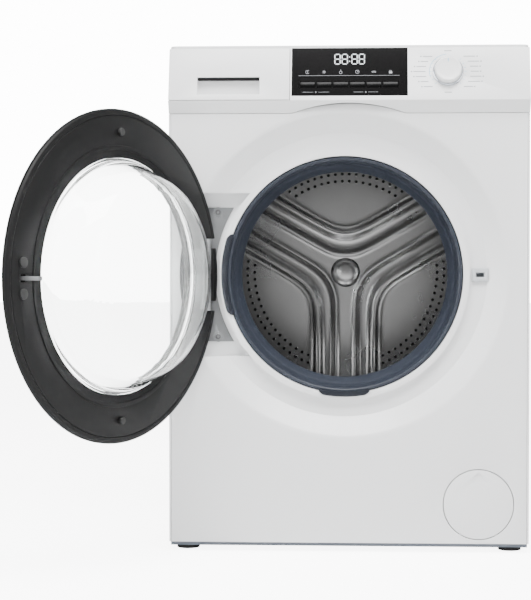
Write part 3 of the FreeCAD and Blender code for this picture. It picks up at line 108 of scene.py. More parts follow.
def varyGroup():
    # slow drift of colour and roughness over a surface
    group, given, result = newGroup(
        "surfaceVary",
        [("Light", "NodeSocketColor", (0.8, 0.8, 0.8, 1)), ("Dark", "NodeSocketColor", (0.7, 0.7, 0.7, 1)),
         ("Scale", "NodeSocketFloat", 6.0), ("Smooth", "NodeSocketFloat", 0.3),
         ("Rough", "NodeSocketFloat", 0.4)],
        [("Color", "NodeSocketColor"), ("Roughness", "NodeSocketFloat")])
    coords = group.nodes.new("ShaderNodeTexCoord")
    noise = group.nodes.new("ShaderNodeTexNoise")
    noise.inputs["Detail"].default_value = 4.0
    mix = group.nodes.new("ShaderNodeMix")
    mix.data_type = "RGBA"
    spread = group.nodes.new("ShaderNodeMapRange")
    group.links.new(coords.outputs["Object"], noise.inputs["Vector"])
    group.links.new(given.outputs["Scale"], noise.inputs["Scale"])
    group.links.new(noise.outputs["Fac"], mix.inputs["Factor"])
    group.links.new(given.outputs["Light"], mix.inputs[6])
    group.links.new(given.outputs["Dark"], mix.inputs[7])
    group.links.new(noise.outputs["Fac"], spread.inputs["Value"])
    group.links.new(given.outputs["Smooth"], spread.inputs["To Min"])
    group.links.new(given.outputs["Rough"], spread.inputs["To Max"])
    group.links.new(mix.outputs[2], result.inputs["Color"])
    group.links.new(spread.outputs["Result"], result.inputs["Roughness"])
    return group


def brushGroup():
    # long fine scratches that run along one direction
    group, given, result = newGroup(
        "brushedLines",
        [("Stretch", "NodeSocketVector", (1.0, 1.0, 1.0)), ("Strength", "NodeSocketFloat", 0.1),
         ("Distance", "NodeSocketFloat", 0.0002)],
        [("Normal", "NodeSocketVector")])
    coords = group.nodes.new("ShaderNodeTexCoord")
    scaled = group.nodes.new("ShaderNodeVectorMath")
    scaled.operation = "MULTIPLY"
    noise = group.nodes.new("ShaderNodeTexNoise")
    noise.inputs["Scale"].default_value = 30.0
    noise.inputs["Detail"].default_value = 5.0
    bump = group.nodes.new("ShaderNodeBump")
    group.links.new(coords.outputs["Object"], scaled.inputs[0])
    group.links.new(given.outputs["Stretch"], scaled.inputs[1])
    group.links.new(scaled.outputs[0], noise.inputs["Vector"])
    group.links.new(noise.outputs["Fac"], bump.inputs["Height"])
    group.links.new(given.outputs["Strength"], bump.inputs["Strength"])
    group.links.new(given.outputs["Distance"], bump.inputs["Distance"])
    group.links.new(bump.outputs["Normal"], result.inputs["Normal"])
    return group


grain = grainGroup()
vary = varyGroup()
brush = brushGroup()


def makeMaterial(name, light, dark, smooth, rough, metallic=0.0, grainScale=900, grainStrength=0.12,
                 driftScale=5, coat=0.0, stretch=None, transmission=0.0, specular=0.5):
    material = bpy.data.materials.new(name)
    material.use_nodes = True
    tree = material.node_tree
    shader = tree.nodes["Principled BSDF"]
    shader.inputs["Metallic"].default_value = metallic
    shader.inputs["Coat Weight"].default_value = coat
    shader.inputs["Coat Roughness"].default_value = 0.06
    shader.inputs["Transmission Weight"].default_value = transmission
    shader.inputs["Specular IOR Level"].default_value = specular
    drift = tree.nodes.new("ShaderNodeGroup")
    drift.node_tree = vary
    drift.inputs["Light"].default_value = (*light, 1)
    drift.inputs["Dark"].default_value = (*dark, 1)
    drift.inputs["Scale"].default_value = driftScale
    drift.inputs["Smooth"].default_value = smooth
    drift.inputs["Rough"].default_value = rough
    tree.links.new(drift.outputs["Color"], shader.inputs["Base Color"])
    tree.links.new(drift.outputs["Roughness"], shader.inputs["Roughness"])
    surface = tree.nodes.new("ShaderNodeGroup")
    if stretch:
        surface.node_tree = brush
        surface.inputs["Stretch"].default_value = stretch
    else:
        surface.node_tree = grain
        surface.inputs["Scale"].default_value = grainScale
    surface.inputs["Strength"].default_value = grainStrength
    tree.links.new(surface.outputs["Normal"], shader.inputs["Normal"])
    return material


finishes = {
    "white_panel": dict(light=(0.80, 0.805, 0.81), dark=(0.785, 0.79, 0.797), smooth=0.32,
                        rough=0.38, grainScale=700, grainStrength=0.05, coat=0.15),
    "worktop_board": dict(light=(0.80, 0.803, 0.81), dark=(0.78, 0.785, 0.79), smooth=0.4,
                          rough=0.5, grainScale=1400, grainStrength=0.1),
    "white_plastic": dict(light=(0.83, 0.833, 0.838), dark=(0.815, 0.82, 0.825), smooth=0.28,
                          rough=0.36, grainScale=1600, grainStrength=0.04),
    "grey_plastic": dict(light=(0.50, 0.52, 0.54), dark=(0.46, 0.48, 0.50), smooth=0.45, rough=0.6,
                         grainScale=1200, grainStrength=0.2),
    "black_gloss": dict(light=(0.0016, 0.0015, 0.0016), dark=(0.003, 0.0028, 0.003), smooth=0.10,
                        rough=0.16, grainScale=300, grainStrength=0.01, specular=0.22),
    "key_black": dict(light=(0.0008, 0.0008, 0.0009), dark=(0.0016, 0.0016, 0.0017), smooth=0.2,
                      rough=0.28, grainScale=900, grainStrength=0.03, specular=0.12),
    "knob_white": dict(light=(0.82, 0.825, 0.83), dark=(0.80, 0.805, 0.81), smooth=0.25, rough=0.32,
                       grainScale=1500, grainStrength=0.04, coat=0.2),
    "knob_ring": dict(light=(0.72, 0.75, 0.80), dark=(0.62, 0.66, 0.72), smooth=0.12, rough=0.2,
                      metallic=1.0, stretch=(40, 40, 2), grainStrength=0.03),
    "base_grey": dict(light=(0.35, 0.40, 0.48), dark=(0.30, 0.34, 0.41), smooth=0.35, rough=0.5,
                      metallic=0.3, grainScale=500, grainStrength=0.1, driftScale=20),
    "base_plastic": dict(light=(0.16, 0.185, 0.225), dark=(0.13, 0.15, 0.185), smooth=0.35,
                         rough=0.5, grainScale=500, grainStrength=0.1, driftScale=20),
    "foot_rubber": dict(light=(0.018, 0.018, 0.018), dark=(0.03, 0.03, 0.03), smooth=0.6, rough=0.8,
                        grainScale=1500, grainStrength=0.3),
    "hinge_zinc": dict(light=(0.24, 0.245, 0.25), dark=(0.19, 0.195, 0.2), smooth=0.32, rough=0.48,
                       metallic=0.5, stretch=(3, 3, 30), grainStrength=0.06, driftScale=30),
    "door_black": dict(light=(0.0042, 0.0042, 0.0044), dark=(0.0065, 0.0065, 0.0068), smooth=0.42,
                       rough=0.55, grainScale=1300, grainStrength=0.35, specular=0.2),
    "bumper_rubber": dict(light=(0.012, 0.012, 0.012), dark=(0.02, 0.02, 0.02), smooth=0.5,
                          rough=0.7, grainScale=1500, grainStrength=0.25),
    "gasket_rubber": dict(light=(0.026, 0.031, 0.043), dark=(0.019, 0.023, 0.033), smooth=0.40,
                          rough=0.52, grainScale=1200, grainStrength=0.15, driftScale=12,
                          specular=0.3),
    "concrete": dict(light=(0.5, 0.5, 0.48), dark=(0.3, 0.3, 0.29), smooth=0.8, rough=0.95,
                     grainScale=200, grainStrength=0.6, driftScale=60),
    "drum_steel": dict(light=(0.42, 0.42, 0.42), dark=(0.33, 0.33, 0.33), smooth=0.24, rough=0.32,
                       metallic=1.0, stretch=(2, 1, 30), grainStrength=0.08, driftScale=9),
    "cast_aluminium": dict(light=(0.6, 0.6, 0.61), dark=(0.45, 0.45, 0.46), smooth=0.4, rough=0.6,
                           metallic=0.9, grainScale=400, grainStrength=0.4, driftScale=40),
    "bearing_steel": dict(light=(0.55, 0.56, 0.57), dark=(0.4, 0.41, 0.42), smooth=0.25, rough=0.4,
                          metallic=1.0, stretch=(2, 2, 30), grainStrength=0.08),
    "hose_rubber": dict(light=(0.05, 0.05, 0.055), dark=(0.035, 0.035, 0.04), smooth=0.5, rough=0.7,
                        grainScale=900, grainStrength=0.2),
}
materials = {slot: makeMaterial(slot, **values) for slot, values in finishes.items()}


doorGlass = {"index": 1.47, "tint": (0.97, 0.985, 0.98, 1),
             "waveScale": 14.0, "waveStrength": 0.05, "waveDepth": 0.001}


def glassMaterial():
    material = bpy.data.materials.new("door_glass")
    material.use_nodes = True
    tree = material.node_tree
    shader = tree.nodes["Principled BSDF"]
    shader.inputs["Transmission Weight"].default_value = 1.0
    shader.inputs["IOR"].default_value = doorGlass["index"]
    shader.inputs["Base Color"].default_value = doorGlass["tint"]
    shader.inputs["Roughness"].default_value = 0.0
    wave = tree.nodes.new("ShaderNodeGroup")
    wave.node_tree = grain
    wave.inputs["Scale"].default_value = doorGlass["waveScale"]
    wave.inputs["Strength"].default_value = doorGlass["waveStrength"]
    wave.inputs["Distance"].default_value = doorGlass["waveDepth"]
    tree.links.new(wave.outputs["Normal"], shader.inputs["Normal"])
    return material


materials["door_glass"] = glassMaterial()


def glowMaterial(name, colour, strength):
    # lit digits and printed marks
    darker = tuple(part * 0.93 for part in colour)
    material = makeMaterial(name, colour, darker, smooth=0.4, rough=0.5)
    shader = material.node_tree.nodes["Principled BSDF"]
    shader.inputs["Emission Color"].default_value = (*colour, 1)
    shader.inputs["Emission Strength"].default_value = strength
    return material


printFinishes = {      # colour and glow
    "digit_light": ((0.85, 0.9, 0.92), 0.35),
    "print_white": ((0.62, 0.63, 0.65), 0.0),
    "print_grey": ((0.32, 0.33, 0.35), 0.0),
    "print_blue": ((0.25, 0.52, 0.72), 0.0),
}
for finish, (colour, glow) in printFinishes.items():
    materials[finish] = glowMaterial(finish, colour, glow)

detailFinishes = {
    "screw_dark": dict(light=(0.16, 0.16, 0.165), dark=(0.10, 0.10, 0.105), smooth=0.25, rough=0.4,
                       metallic=0.9),
    "pad_dark": dict(light=(0.010, 0.012, 0.019), dark=(0.007, 0.009, 0.014), smooth=0.4, rough=0.55,
                     specular=0.3),
    # near-black discs that paint the shade inside the drum's holes
    "hole_painted_shade": dict(light=(0.004, 0.004, 0.004), dark=(0.007, 0.007, 0.007), smooth=0.8, rough=0.9),
    "window_grey": dict(light=(0.03, 0.03, 0.032), dark=(0.035, 0.035, 0.037), smooth=0.12, rough=0.18),
}
for finish, values in detailFinishes.items():
    materials[finish] = makeMaterial(finish, **values)

for nodeName, cadObject in nodes.items():
    cadObject.data.materials.clear()
    cadObject.data.materials.append(materials[slotOf[nodeName]])
print("materials made")


mergeDistance = 1e-6


# mesh helpers
def toObject(mesh, name, body, slot, material=None, smoothAngle=35):
    data = bpy.data.meshes.new(name)
    mesh.to_mesh(data)
    mesh.free()
    data.shade_smooth()
    piece = bpy.data.objects.new(name, data)
    scene.collection.objects.link(piece)
    data.materials.append(materials[material or slot])
    if smoothAngle:
        data.set_sharp_from_angle(angle=math.radians(smoothAngle))
    if body:
        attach(piece, body)
    return piece


def softEdges(mesh, edges, width, segments=2):
    if edges:
        bmesh.ops.bevel(mesh, geom=edges, offset=width, offset_type="OFFSET", segments=segments,
                        profile=0.5, affect="EDGES", clamp_overlap=True, material=-1)


def cadCopy(nodeName):
    # a merged working copy of a CAD node's surface
    mesh = bmesh.new()
    mesh.from_mesh(nodes[nodeName].data)
    bmesh.ops.remove_doubles(mesh, verts=mesh.verts, dist=mergeDistance)
    bmesh.ops.dissolve_limit(mesh, angle_limit=math.radians(1.0), verts=mesh.verts, edges=mesh.edges)
    return mesh


def sharpEdges(mesh, angle=32):
    limit = math.radians(angle)
    return [edge for edge in mesh.edges if len(edge.link_faces) == 2 and edge.calc_face_angle(0) > limit]


def roundedNode(nodeName, width, segments=2, angle=32, extra=None):
    # the CAD node again, with its edges broken as moulding or pressing leaves them
    mesh = cadCopy(nodeName)
    if extra:
        extra(mesh)
    softEdges(mesh, sharpEdges(mesh, angle), width, segments)
    piece = toObject(mesh, "fine_" + nodeName, bodyOf[nodeName], slotOf[nodeName])
    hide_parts(nodeName)
    return piece


def spun(points, centre, steps=128, axis=(0, 1, 0), closed=True):
    # points are (radius, distance along the axis)
    mesh = bmesh.new()
    direction = Vector(axis)
    side = Vector((1, 0, 0))
    ring = [mesh.verts.new(Vector(centre) + side * radius + direction * along) for radius, along in points]
    for first, second in zip(ring, ring[1:] + (ring[:1] if closed else [])):
        mesh.edges.new((first, second))
    bmesh.ops.spin(mesh, geom=mesh.verts[:] + mesh.edges[:], cent=centre, axis=axis, angle=2 * math.pi,
                   steps=steps, use_merge=True, use_duplicate=False)
    bmesh.ops.remove_doubles(mesh, verts=mesh.verts, dist=mergeDistance)
    bmesh.ops.recalc_face_normals(mesh, faces=mesh.faces)
    return mesh


def arcPoints(centre, radius, start, stop, count):
    # points of a rounded corner, angles in degrees
    return [(centre[0] + radius * math.cos(math.radians(start + (stop - start) * index / count)),
             centre[1] + radius * math.sin(math.radians(start + (stop - start) * index / count)))
            for index in range(count + 1)]


# cabinet
panelShape = {
    "bends": ((0.269, 0.0, 0.010), (0.236, 0.024, 0.012)),      # radius, depth and width of each bend
    "segments": 4, "near": 0.0004, "edge": 0.0016,
}


def frontPanelEdges(mesh):
    # the pressed dish has wide soft bends, the rest only broken edges
    near = panelShape["near"]
    for radius, depth, width in panelShape["bends"]:
        bend = []
        for edge in mesh.edges:
            places = [(math.hypot(v.co.x - mouthX, v.co.z - mouthZ), v.co.y - frontY) for v in edge.verts]
            if all(abs(r - radius) < near and abs(y - depth) < near for r, y in places):
                bend.append(edge)
        softEdges(mesh, bend, width, panelShape["segments"])


roundedNode("front_panel", panelShape["edge"], 3, 28, frontPanelEdges)

brokenEdges = {      # width of the broken edge of each plain part
    "side_left": 0.0008, "side_right": 0.0008, "base_frame": 0.001, "service_door": 0.0007,
    "rear_cover": 0.001, "inlet_valve": 0.0008, "lock_module": 0.0008, "hinge_plate": 0.0006,
    "door_hook": 0.0008, "hinge_leaf": 0.0006, "drawer_tray": 0.0008, "dispenser_housing": 0.0006,
}
for nodeName, width in brokenEdges.items():
    roundedNode(nodeName, width)
for foot in range(1, 5):
    roundedNode(f"foot_{foot}", 0.0012, 3)


hingeScrews = {
    "side": 0.211, "rise": 0.104, "depth": 0.0325,
    # radius and depth, from the middle outwards
    "head": [(0.0, 0.0006), (0.0016, 0.0006), (0.0019, -0.0009), (0.0032, -0.0008), (0.0044, 0.0001),
             (0.0052, 0.0012), (0.0053, 0.0026)],
    "washer": [(0.0054, 0.0019), (0.0085, 0.0019), (0.0088, 0.0026), (0.0054, 0.0026)],
}


def screwHeads():
    # domed heads with a round recess, and washers, over the two screws of the hinge
    size = hingeScrews
    for index, side in enumerate((-1, 1)):
        centre = (mouthX - size["side"], frontY + size["depth"], mouthZ + side * size["rise"])
        mesh = spun(size["head"], centre, 32, closed=False)
        toObject(mesh, f"hinge_screw_{index + 1}", "cabinet", "hinge_zinc", "screw_dark")
        washer = spun(size["washer"], centre, 32)
        toObject(washer, f"hinge_washer_{index + 1}", "cabinet", "hinge_zinc", "hinge_zinc")


screwHeads()

worktopSize = {"corner": 0.012, "edge": 0.0015, "uprightFrom": 0.02}


def worktopEdges(mesh):
    # the upright edges at the four corners
    upright = [edge for edge in mesh.edges
               if abs(edge.verts[0].co.z - edge.verts[1].co.z) > worktopSize["uprightFrom"]]
    softEdges(mesh, upright, worktopSize["corner"], 5)


roundedNode("worktop", worktopSize["edge"], 3, 40, worktopEdges)
print("cabinet done")

# fascia and drawer
faceEdges = {"width": 0.0012, "segments": 3, "angle": 12, "keyWidth": 0.0007}
for nodeName in ("control_fascia", "drawer_front"):
    roundedNode(nodeName, faceEdges["width"], faceEdges["segments"], faceEdges["angle"])
for key in range(1, 7):
    roundedNode(f"key_{key}", faceEdges["keyWidth"], 2)

grip = {"start": 0.0475, "wide": 0.103, "endGap": 0.002, "deep": 0.011, "thick": 0.0046,
        "behindPanel": 0.0068, "height": 0.7822, "edge": 0.0012}


def gripShadeStrip():
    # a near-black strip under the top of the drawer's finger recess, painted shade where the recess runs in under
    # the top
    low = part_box("drawer_front")[0]
    middle = (low.x + grip["start"] + grip["wide"] / 2, frontY + grip["behindPanel"], grip["height"])
    size = (grip["wide"] - grip["endGap"], grip["deep"], grip["thick"], 1)
    mesh = bmesh.new()
    bmesh.ops.create_cube(mesh, size=1.0, matrix=Matrix.Translation(middle) @ Matrix.Diagonal(size))
    softEdges(mesh, mesh.edges[:], grip["edge"], 2)
    # the black finish here is painted shade, not a dark part of the drawer
    toObject(mesh, "drawer_grip_painted_shade", "drawer", "white_plastic", "door_black")


gripShadeStrip()
print("fascia done")

ridgeDrop = 0.007      # from the window's low edge down to the ridge of the fascia


def onFace(x, rise, proud=0.0):
    # a point on the leaning face; rise is height above the ridge
    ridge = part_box("control_fascia")[0]
    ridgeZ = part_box("display_window")[0].z - ridgeDrop
    start = Vector((x, ridge.y, ridgeZ))
    return start + faceUp * (rise / math.cos(lean)) - faceNormal * proud


faceFrame = Matrix((
    (1, 0, 0, 0),
    (0, faceUp.y, -faceNormal.y, 0),
    (0, faceUp.z, -faceNormal.z, 0),
    (0, 0, 0, 1)))


def flatMark(mesh, x, rise, width, height, proud=0.0003, turn=0.0):
    # a thin printed bar lying on the face
    place = Matrix.Translation(onFace(x, rise, proud)) @ faceFrame @ Matrix.Rotation(turn, 4, "Z")
    bmesh.ops.create_grid(mesh, x_segments=1, y_segments=1, size=0.5,
                          matrix=place @ Matrix.Diagonal((width, height, 1, 1)))


displayMarks = {
    "digitHeight": 0.0165, "digitWidth": 0.0088, "stroke": 0.0013, "digitRise": 0.0695,
    "digitPlaces": (-0.0185, -0.0065, 0.0095, 0.0215), "colonPlace": 0.0015, "dot": 0.0015,
    "barShare": 0.72, "uprightShare": 0.8, "digitProud": 0.0004,
    "patchPlace": 0.0005, "patchWide": 0.069, "patchHigh": 0.024, "patchProud": 0.00015,
    "iconRise": 0.048, "lineRise": 0.0418, "lineLength": 0.166, "fineStroke": 0.0004,
    "keyPitch": 0.0273, "keyCentre": 0.0004, "keyRise": 0.026,
    "keyBars": ((-0.0045, 0.0058), (0.003, 0.0064)), "keyBarHeight": 0.0015, "keyBarProud": -0.0002,
    "smallRise": 0.014, "smallMarks": ((-0.054, 0.018), (0.028, 0.016)), "smallGap": 0.004,
    "smallRing": (0.0012, 0.0005),
}


def digits():
    # four plain eights and a colon
    mesh = bmesh.new()
    size = displayMarks
    half = size["digitHeight"] / 2
    for x in size["digitPlaces"]:
        for row in (-1, 0, 1):
            flatMark(mesh, x, size["digitRise"] + row * half, size["digitWidth"] * size["barShare"],
                     size["stroke"], size["digitProud"])
        for side in (-1, 1):
            for row in (-0.5, 0.5):
                flatMark(mesh, x + side * size["digitWidth"] / 2, size["digitRise"] + row * half,
                         size["stroke"], half * size["uprightShare"], size["digitProud"])
    for row in (-0.45, 0.45):
        flatMark(mesh, size["colonPlace"], size["digitRise"] + row * half, size["dot"], size["dot"],
                 size["digitProud"])
    toObject(mesh, "display_digits", "cabinet", "black_gloss", "digit_light", 0)


def displayPanel():
    # the paler field behind the digits
    size = displayMarks
    mesh = bmesh.new()
    flatMark(mesh, size["patchPlace"], size["digitRise"], size["patchWide"], size["patchHigh"],
             size["patchProud"])
    toObject(mesh, "display_glass_patch", "cabinet", "black_gloss", "window_grey", 0)


def ringMark(mesh, x, rise, radius, stroke, start=0, stop=360, steps=24, proud=0.0003):
    # a thin printed ring or part of one
    place = Matrix.Translation(onFace(x, rise, proud)) @ faceFrame
    arc = math.radians(stop - start)
    first = Matrix.Rotation(math.radians(start), 4, "Z")
    inner = mesh.verts.new(place @ first @ Vector((radius - stroke, 0, 0)))
    outer = mesh.verts.new(place @ first @ Vector((radius, 0, 0)))
    edge = mesh.edges.new((inner, outer))
    bmesh.ops.spin(mesh, geom=[inner, outer, edge], cent=place.translation, axis=-faceNormal, angle=arc,
                   steps=steps, use_merge=(stop - start == 360))


# a bar is across, up, width, height, turn; a ring is across, up, radius, stroke, start, stop
icons = (
    (("ring", 0, 0, 0.0033, 0.0006, 40, 320), ("bar", 0, 0, 0.0006, 0.003, 0)),
    (("bar", 0, 0, 0.0006, 0.0062, 0), ("bar", 0, 0, 0.0006, 0.0062, 60),
     ("bar", 0, 0, 0.0006, 0.0062, -60)),
    (("ring", 0, -0.001, 0.0026, 0.0006, 0, 360), ("bar", 0, 0.0025, 0.0007, 0.003, 0)),
    (("ring", 0, 0, 0.0033, 0.0006, 0, 360), ("bar", 0, 0.0008, 0.0006, 0.0026, 0),
     ("bar", 0.0008, 0, 0.0022, 0.0006, 0)),
    (("ring", -0.0022, 0, 0.0014, 0.0005, 0, 360), ("ring", 0, 0, 0.0014, 0.0005, 0, 360),
     ("ring", 0.0022, 0, 0.0014, 0.0005, 0, 360)),
    (("bar", 0, -0.0012, 0.0052, 0.0034, 0), ("ring", 0, 0.0004, 0.0022, 0.0006, 0, 180)),
)


def iconRow():
    # plain signs above the keys, with a fine line under them and two small marks below the keys
    mesh = bmesh.new()
    size = displayMarks
    for index, strokes in enumerate(icons):
        x = size["keyCentre"] + (index - 2.5) * size["keyPitch"]
        for kind, across, up, *shape in strokes:
            if kind == "ring":
                ringMark(mesh, x + across, size["iconRise"] + up, *shape)
            else:
                width, height, turn = shape
                flatMark(mesh, x + across, size["iconRise"] + up, width, height, turn=math.radians(turn))
    flatMark(mesh, size["keyCentre"], size["lineRise"], size["lineLength"], size["fineStroke"])
    for x, length in size["smallMarks"]:
        ringMark(mesh, x, size["smallRise"], *size["smallRing"])
        for direction in (-1, 1):
            flatMark(mesh, x + direction * (size["smallGap"] + length / 2), size["smallRise"], length,
                     size["fineStroke"])
    toObject(mesh, "display_icons", "cabinet", "black_gloss", "print_grey", 0)


def keyLabels():
    # generic short bars on each key, moving with the key
    size = displayMarks
    for index in range(6):
        mesh = bmesh.new()
        x = size["keyCentre"] + (index - 2.5) * size["keyPitch"]
        for part, width in size["keyBars"]:
            flatMark(mesh, x + part, size["keyRise"], width, size["keyBarHeight"], size["keyBarProud"])
        toObject(mesh, f"key_label_{index + 1}", f"key_{index + 1}", "key_black", "print_white", 0)


displayPanel()
digits()
iconRow()
keyLabels()

dial = {
    "x": 0.163, "rise": 0.048, "labelRows": 7, "labelStep": 0.0085, "labelLength": 0.020,
    "labelReach": 0.034, "labelGap": 0.003, "barHeight": 0.0015, "dot": 0.0022,
    "nameRises": (0.083, 0.013), "nameLength": 0.012,
    "tickReach": 0.0285, "tickLength": 0.0035, "tickWidth": 0.0006,
    "arcRadius": 0.0310, "arcStroke": 0.0009, "arcStart": 95, "arcStop": 200,
}


def dialLabels():
    # bars stand for the programme names on both sides of the dial
    mesh = bmesh.new()
    ticks = bmesh.new()
    x, rise = dial["x"], dial["rise"]
    for side in (-1, 1):
        for row in range(dial["labelRows"]):
            offset = (row - 3) * dial["labelStep"]
            reach = math.sqrt(max(dial["labelReach"] ** 2 - offset ** 2, 0)) + dial["labelGap"]
            length = dial["labelLength"] * (0.62 + 0.38 * math.cos(row * 2.4 + side) ** 2)
            flatMark(mesh, x + side * (reach + length / 2), rise + offset, length, dial["barHeight"])
            flatMark(mesh, x + side * (reach + length + dial["labelGap"]), rise + offset,
                     dial["dot"], dial["dot"])
            angle = math.atan2(offset, side * reach)
            flatMark(ticks, x + math.cos(angle) * dial["tickReach"],
                     rise + math.sin(angle) * dial["tickReach"],
                     dial["tickLength"], dial["tickWidth"], turn=angle)
    for nameRise in dial["nameRises"]:
        flatMark(mesh, x, nameRise, dial["nameLength"], dial["barHeight"])
    toObject(mesh, "dial_labels", "cabinet", "white_plastic", "print_grey", 0)
    ringMark(ticks, x, rise, dial["arcRadius"], dial["arcStroke"], dial["arcStart"], dial["arcStop"], 40)
    toObject(ticks, "dial_ticks", "cabinet", "white_plastic", "print_blue", 0)


dialLabels()

knob = {      # profiles are radius and depth
    "top": [(0.0, -0.0122), (0.012, -0.0124), (0.0185, -0.0128)],
    "corner": (0.0195, -0.0105), "cornerRadius": 0.0025,
    "skirt": [(0.022, -0.0028), (0.0205, -0.0024), (0.0, -0.0024)],
    "ring": [(0.0225, -0.0024), (0.0225, -0.0032), (0.0238, -0.0036), (0.0248, -0.003), (0.025, 0.0),
             (0.0225, 0.0)],
    "pointerPlace": (0, -0.01285, 0.0155), "pointerWide": 0.0012, "pointerLong": 0.006,
}


def knobPieces():
    place = Matrix.Translation(onFace(dial["x"], dial["rise"])) @ Matrix.Rotation(-lean, 4, "X")
    profile = knob["top"] + arcPoints(knob["corner"], knob["cornerRadius"], -90, 0, 4) + knob["skirt"]
    mesh = spun(profile, (0, 0, 0), 96, closed=False)
    bmesh.ops.transform(mesh, matrix=place, verts=mesh.verts)
    piece = toObject(mesh, "dial_knob", "programme_knob", "knob_white")
    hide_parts("programme_knob")
    ring = spun(knob["ring"], (0, 0, 0), 96)
    bmesh.ops.transform(ring, matrix=place, verts=ring.verts)
    bezel = toObject(ring, "dial_ring", "cabinet", "knob_ring")
    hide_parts("knob_bezel")
    mark = bmesh.new()
    markPlace = place @ Matrix.Translation(knob["pointerPlace"]) @ Matrix.Rotation(math.pi / 2, 4, "X")
    markSize = Matrix.Diagonal((knob["pointerWide"], knob["pointerLong"], 1, 1))
    bmesh.ops.create_grid(mark, x_segments=1, y_segments=1, size=0.5, matrix=markPlace @ markSize)
    toObject(mark, "dial_pointer", "programme_knob", "knob_white", "print_blue", 0)


knobPieces()
print("controls done")

# gasket
gasketShape = {
    "lip": 0.172, "outer": 0.1965, "neck": 0.207,
    # which radius, how far from it, and depth
    "profile": (
        ("outer", 0, 0.020), ("outer", 0.0002, 0.034), ("outer", -0.006, 0.044), ("lip", 0.014, 0.052),
        ("lip", 0.006, 0.0605), ("neck", -0.016, 0.0635), ("neck", 0, 0.0645), ("neck", 0, 0.0712),
        ("neck", -0.005, 0.0712), ("neck", -0.014, 0.068), ("lip", 0.003, 0.0648), ("lip", -0.0002, 0.0622),
        ("lip", 0.0002, 0.058), ("lip", 0.0055, 0.049), ("lip", 0.0085, 0.042), ("lip", 0.0115, 0.040),
        ("lip", 0.0125, 0.034), ("lip", 0.0145, 0.032), ("lip", 0.0155, 0.024), ("lip", 0.0165, 0.0175),
        ("outer", -0.004, 0.0152), ("outer", -0.001, 0.0162)),
}


def gasket():
    profile = [(gasketShape[base] + change, depth) for base, change, depth in gasketShape["profile"]]
    mesh = spun(profile, (mouthX, frontY, mouthZ), 160)
    piece = toObject(mesh, "gasket_ring", None, "gasket_rubber", smoothAngle=60)
    rounding = piece.modifiers.new("soft", "SUBSURF")
    rounding.levels = 1
    rounding.render_levels = 1
    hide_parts("door_gasket")
    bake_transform(piece)


gasket()

gasketPads = {
    "front": 0.0112, "back": 0.0138, "edge": 0.0009,
    "endShare": 0.25, "taper": 2.6,      # thickness left at the ends, and the degrees it thins over
    # middle and spread in degrees, inner and outer radius
    "pads": {"gasket_pad_hinge": (180, 40, 0.1945, 0.2045), "gasket_pad_low": (-90, 25, 0.1935, 0.2025)},
}


def gasketPad(name, middle, spread, inner, outer):
    # a thicker pad of the gasket over the edge of the opening, thinning out at both ends
    mesh = bmesh.new()
    front, back, end = gasketPads["front"], gasketPads["back"], gasketPads["endShare"]
    begin = math.radians(middle - spread / 2)
    ring = []
    for radius, along in ((inner, front), (outer, front), (outer, back), (inner, back)):
        ring.append(mesh.verts.new((mouthX + radius * math.cos(begin), frontY + along,
                                    mouthZ + radius * math.sin(begin))))
    face = mesh.faces.new(ring)
    bmesh.ops.spin(mesh, geom=[face] + face.edges[:] + face.verts[:], cent=(mouthX, frontY, mouthZ),
                   axis=(0, -1, 0), angle=math.radians(spread), steps=64, use_duplicate=False)
    for vert in mesh.verts:
        x, z = vert.co.x - mouthX, vert.co.z - mouthZ
        radius = math.hypot(x, z)
        away = abs((math.degrees(math.atan2(z, x)) - middle + 180) % 360 - 180)
        fromEnd = min(max((spread / 2 - away) / gasketPads["taper"], 0), 1)
        share = end + (1 - end) * math.sqrt(fromEnd)
        grown = inner + (radius - inner) * share
        vert.co.x, vert.co.z = mouthX + x * grown / radius, mouthZ + z * grown / radius
    bmesh.ops.recalc_face_normals(mesh, faces=mesh.faces)
    softEdges(mesh, sharpEdges(mesh, 50), gasketPads["edge"], 2)
    toObject(mesh, name, "cabinet", "gasket_rubber", "pad_dark")


for name, values in gasketPads["pads"].items():
    gasketPad(name, *values)

# drum
drumShape = {
    "arms": (-90, 30, 150), "armRound": 0.012, "armShift": 0.0035,
    "plateau": 0.010, "plateauEdge": (0.018, 0.030),
    "rib": 0.0045, "ribFrom": 0.023, "ribWidth": 0.0055,
    "bead": 0.0075, "beadFrom": 0.054, "beadWidth": 0.0085,
    "fade": (0.205, 0.232), "sheetBack": 0.003, "rimGap": 0.0002, "rimDepth": 0.0028,
    "gridCells": 220, "gridTrim": 1.012, "rimSnap": 0.002, "rimInset": 0.0005,
    "hub": [(0.0, -0.0188), (0.006, -0.0186), (0.012, -0.0178), (0.018, -0.0162), (0.0225, -0.0141),
            (0.026, -0.0114), (0.0282, -0.0085), (0.0287, -0.0055), (0.0287, -0.001)],
}
backLow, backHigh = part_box("drum_back")
backRadius = (backHigh.x - backLow.x) / 2 - drumShape["rimGap"]
sheetY = backHigh.y - drumShape["sheetBack"]


def armDistance(x, z):
    # smooth distance to the nearest of the three arms
    total = 0.0
    for angle in drumShape["arms"]:
        ax, az = math.cos(math.radians(angle)), math.sin(math.radians(angle))
        along = x * ax + z * az
        gap = abs(x * az - z * ax) if along > 0 else math.hypot(x, z)
        total += math.exp(-gap / drumShape["armRound"])
    return -drumShape["armRound"] * math.log(total) + drumShape["armShift"]


def smoothStep(low, high, value):
    ratio = min(max((value - low) / (high - low), 0), 1)
    return ratio * ratio * (3 - 2 * ratio)


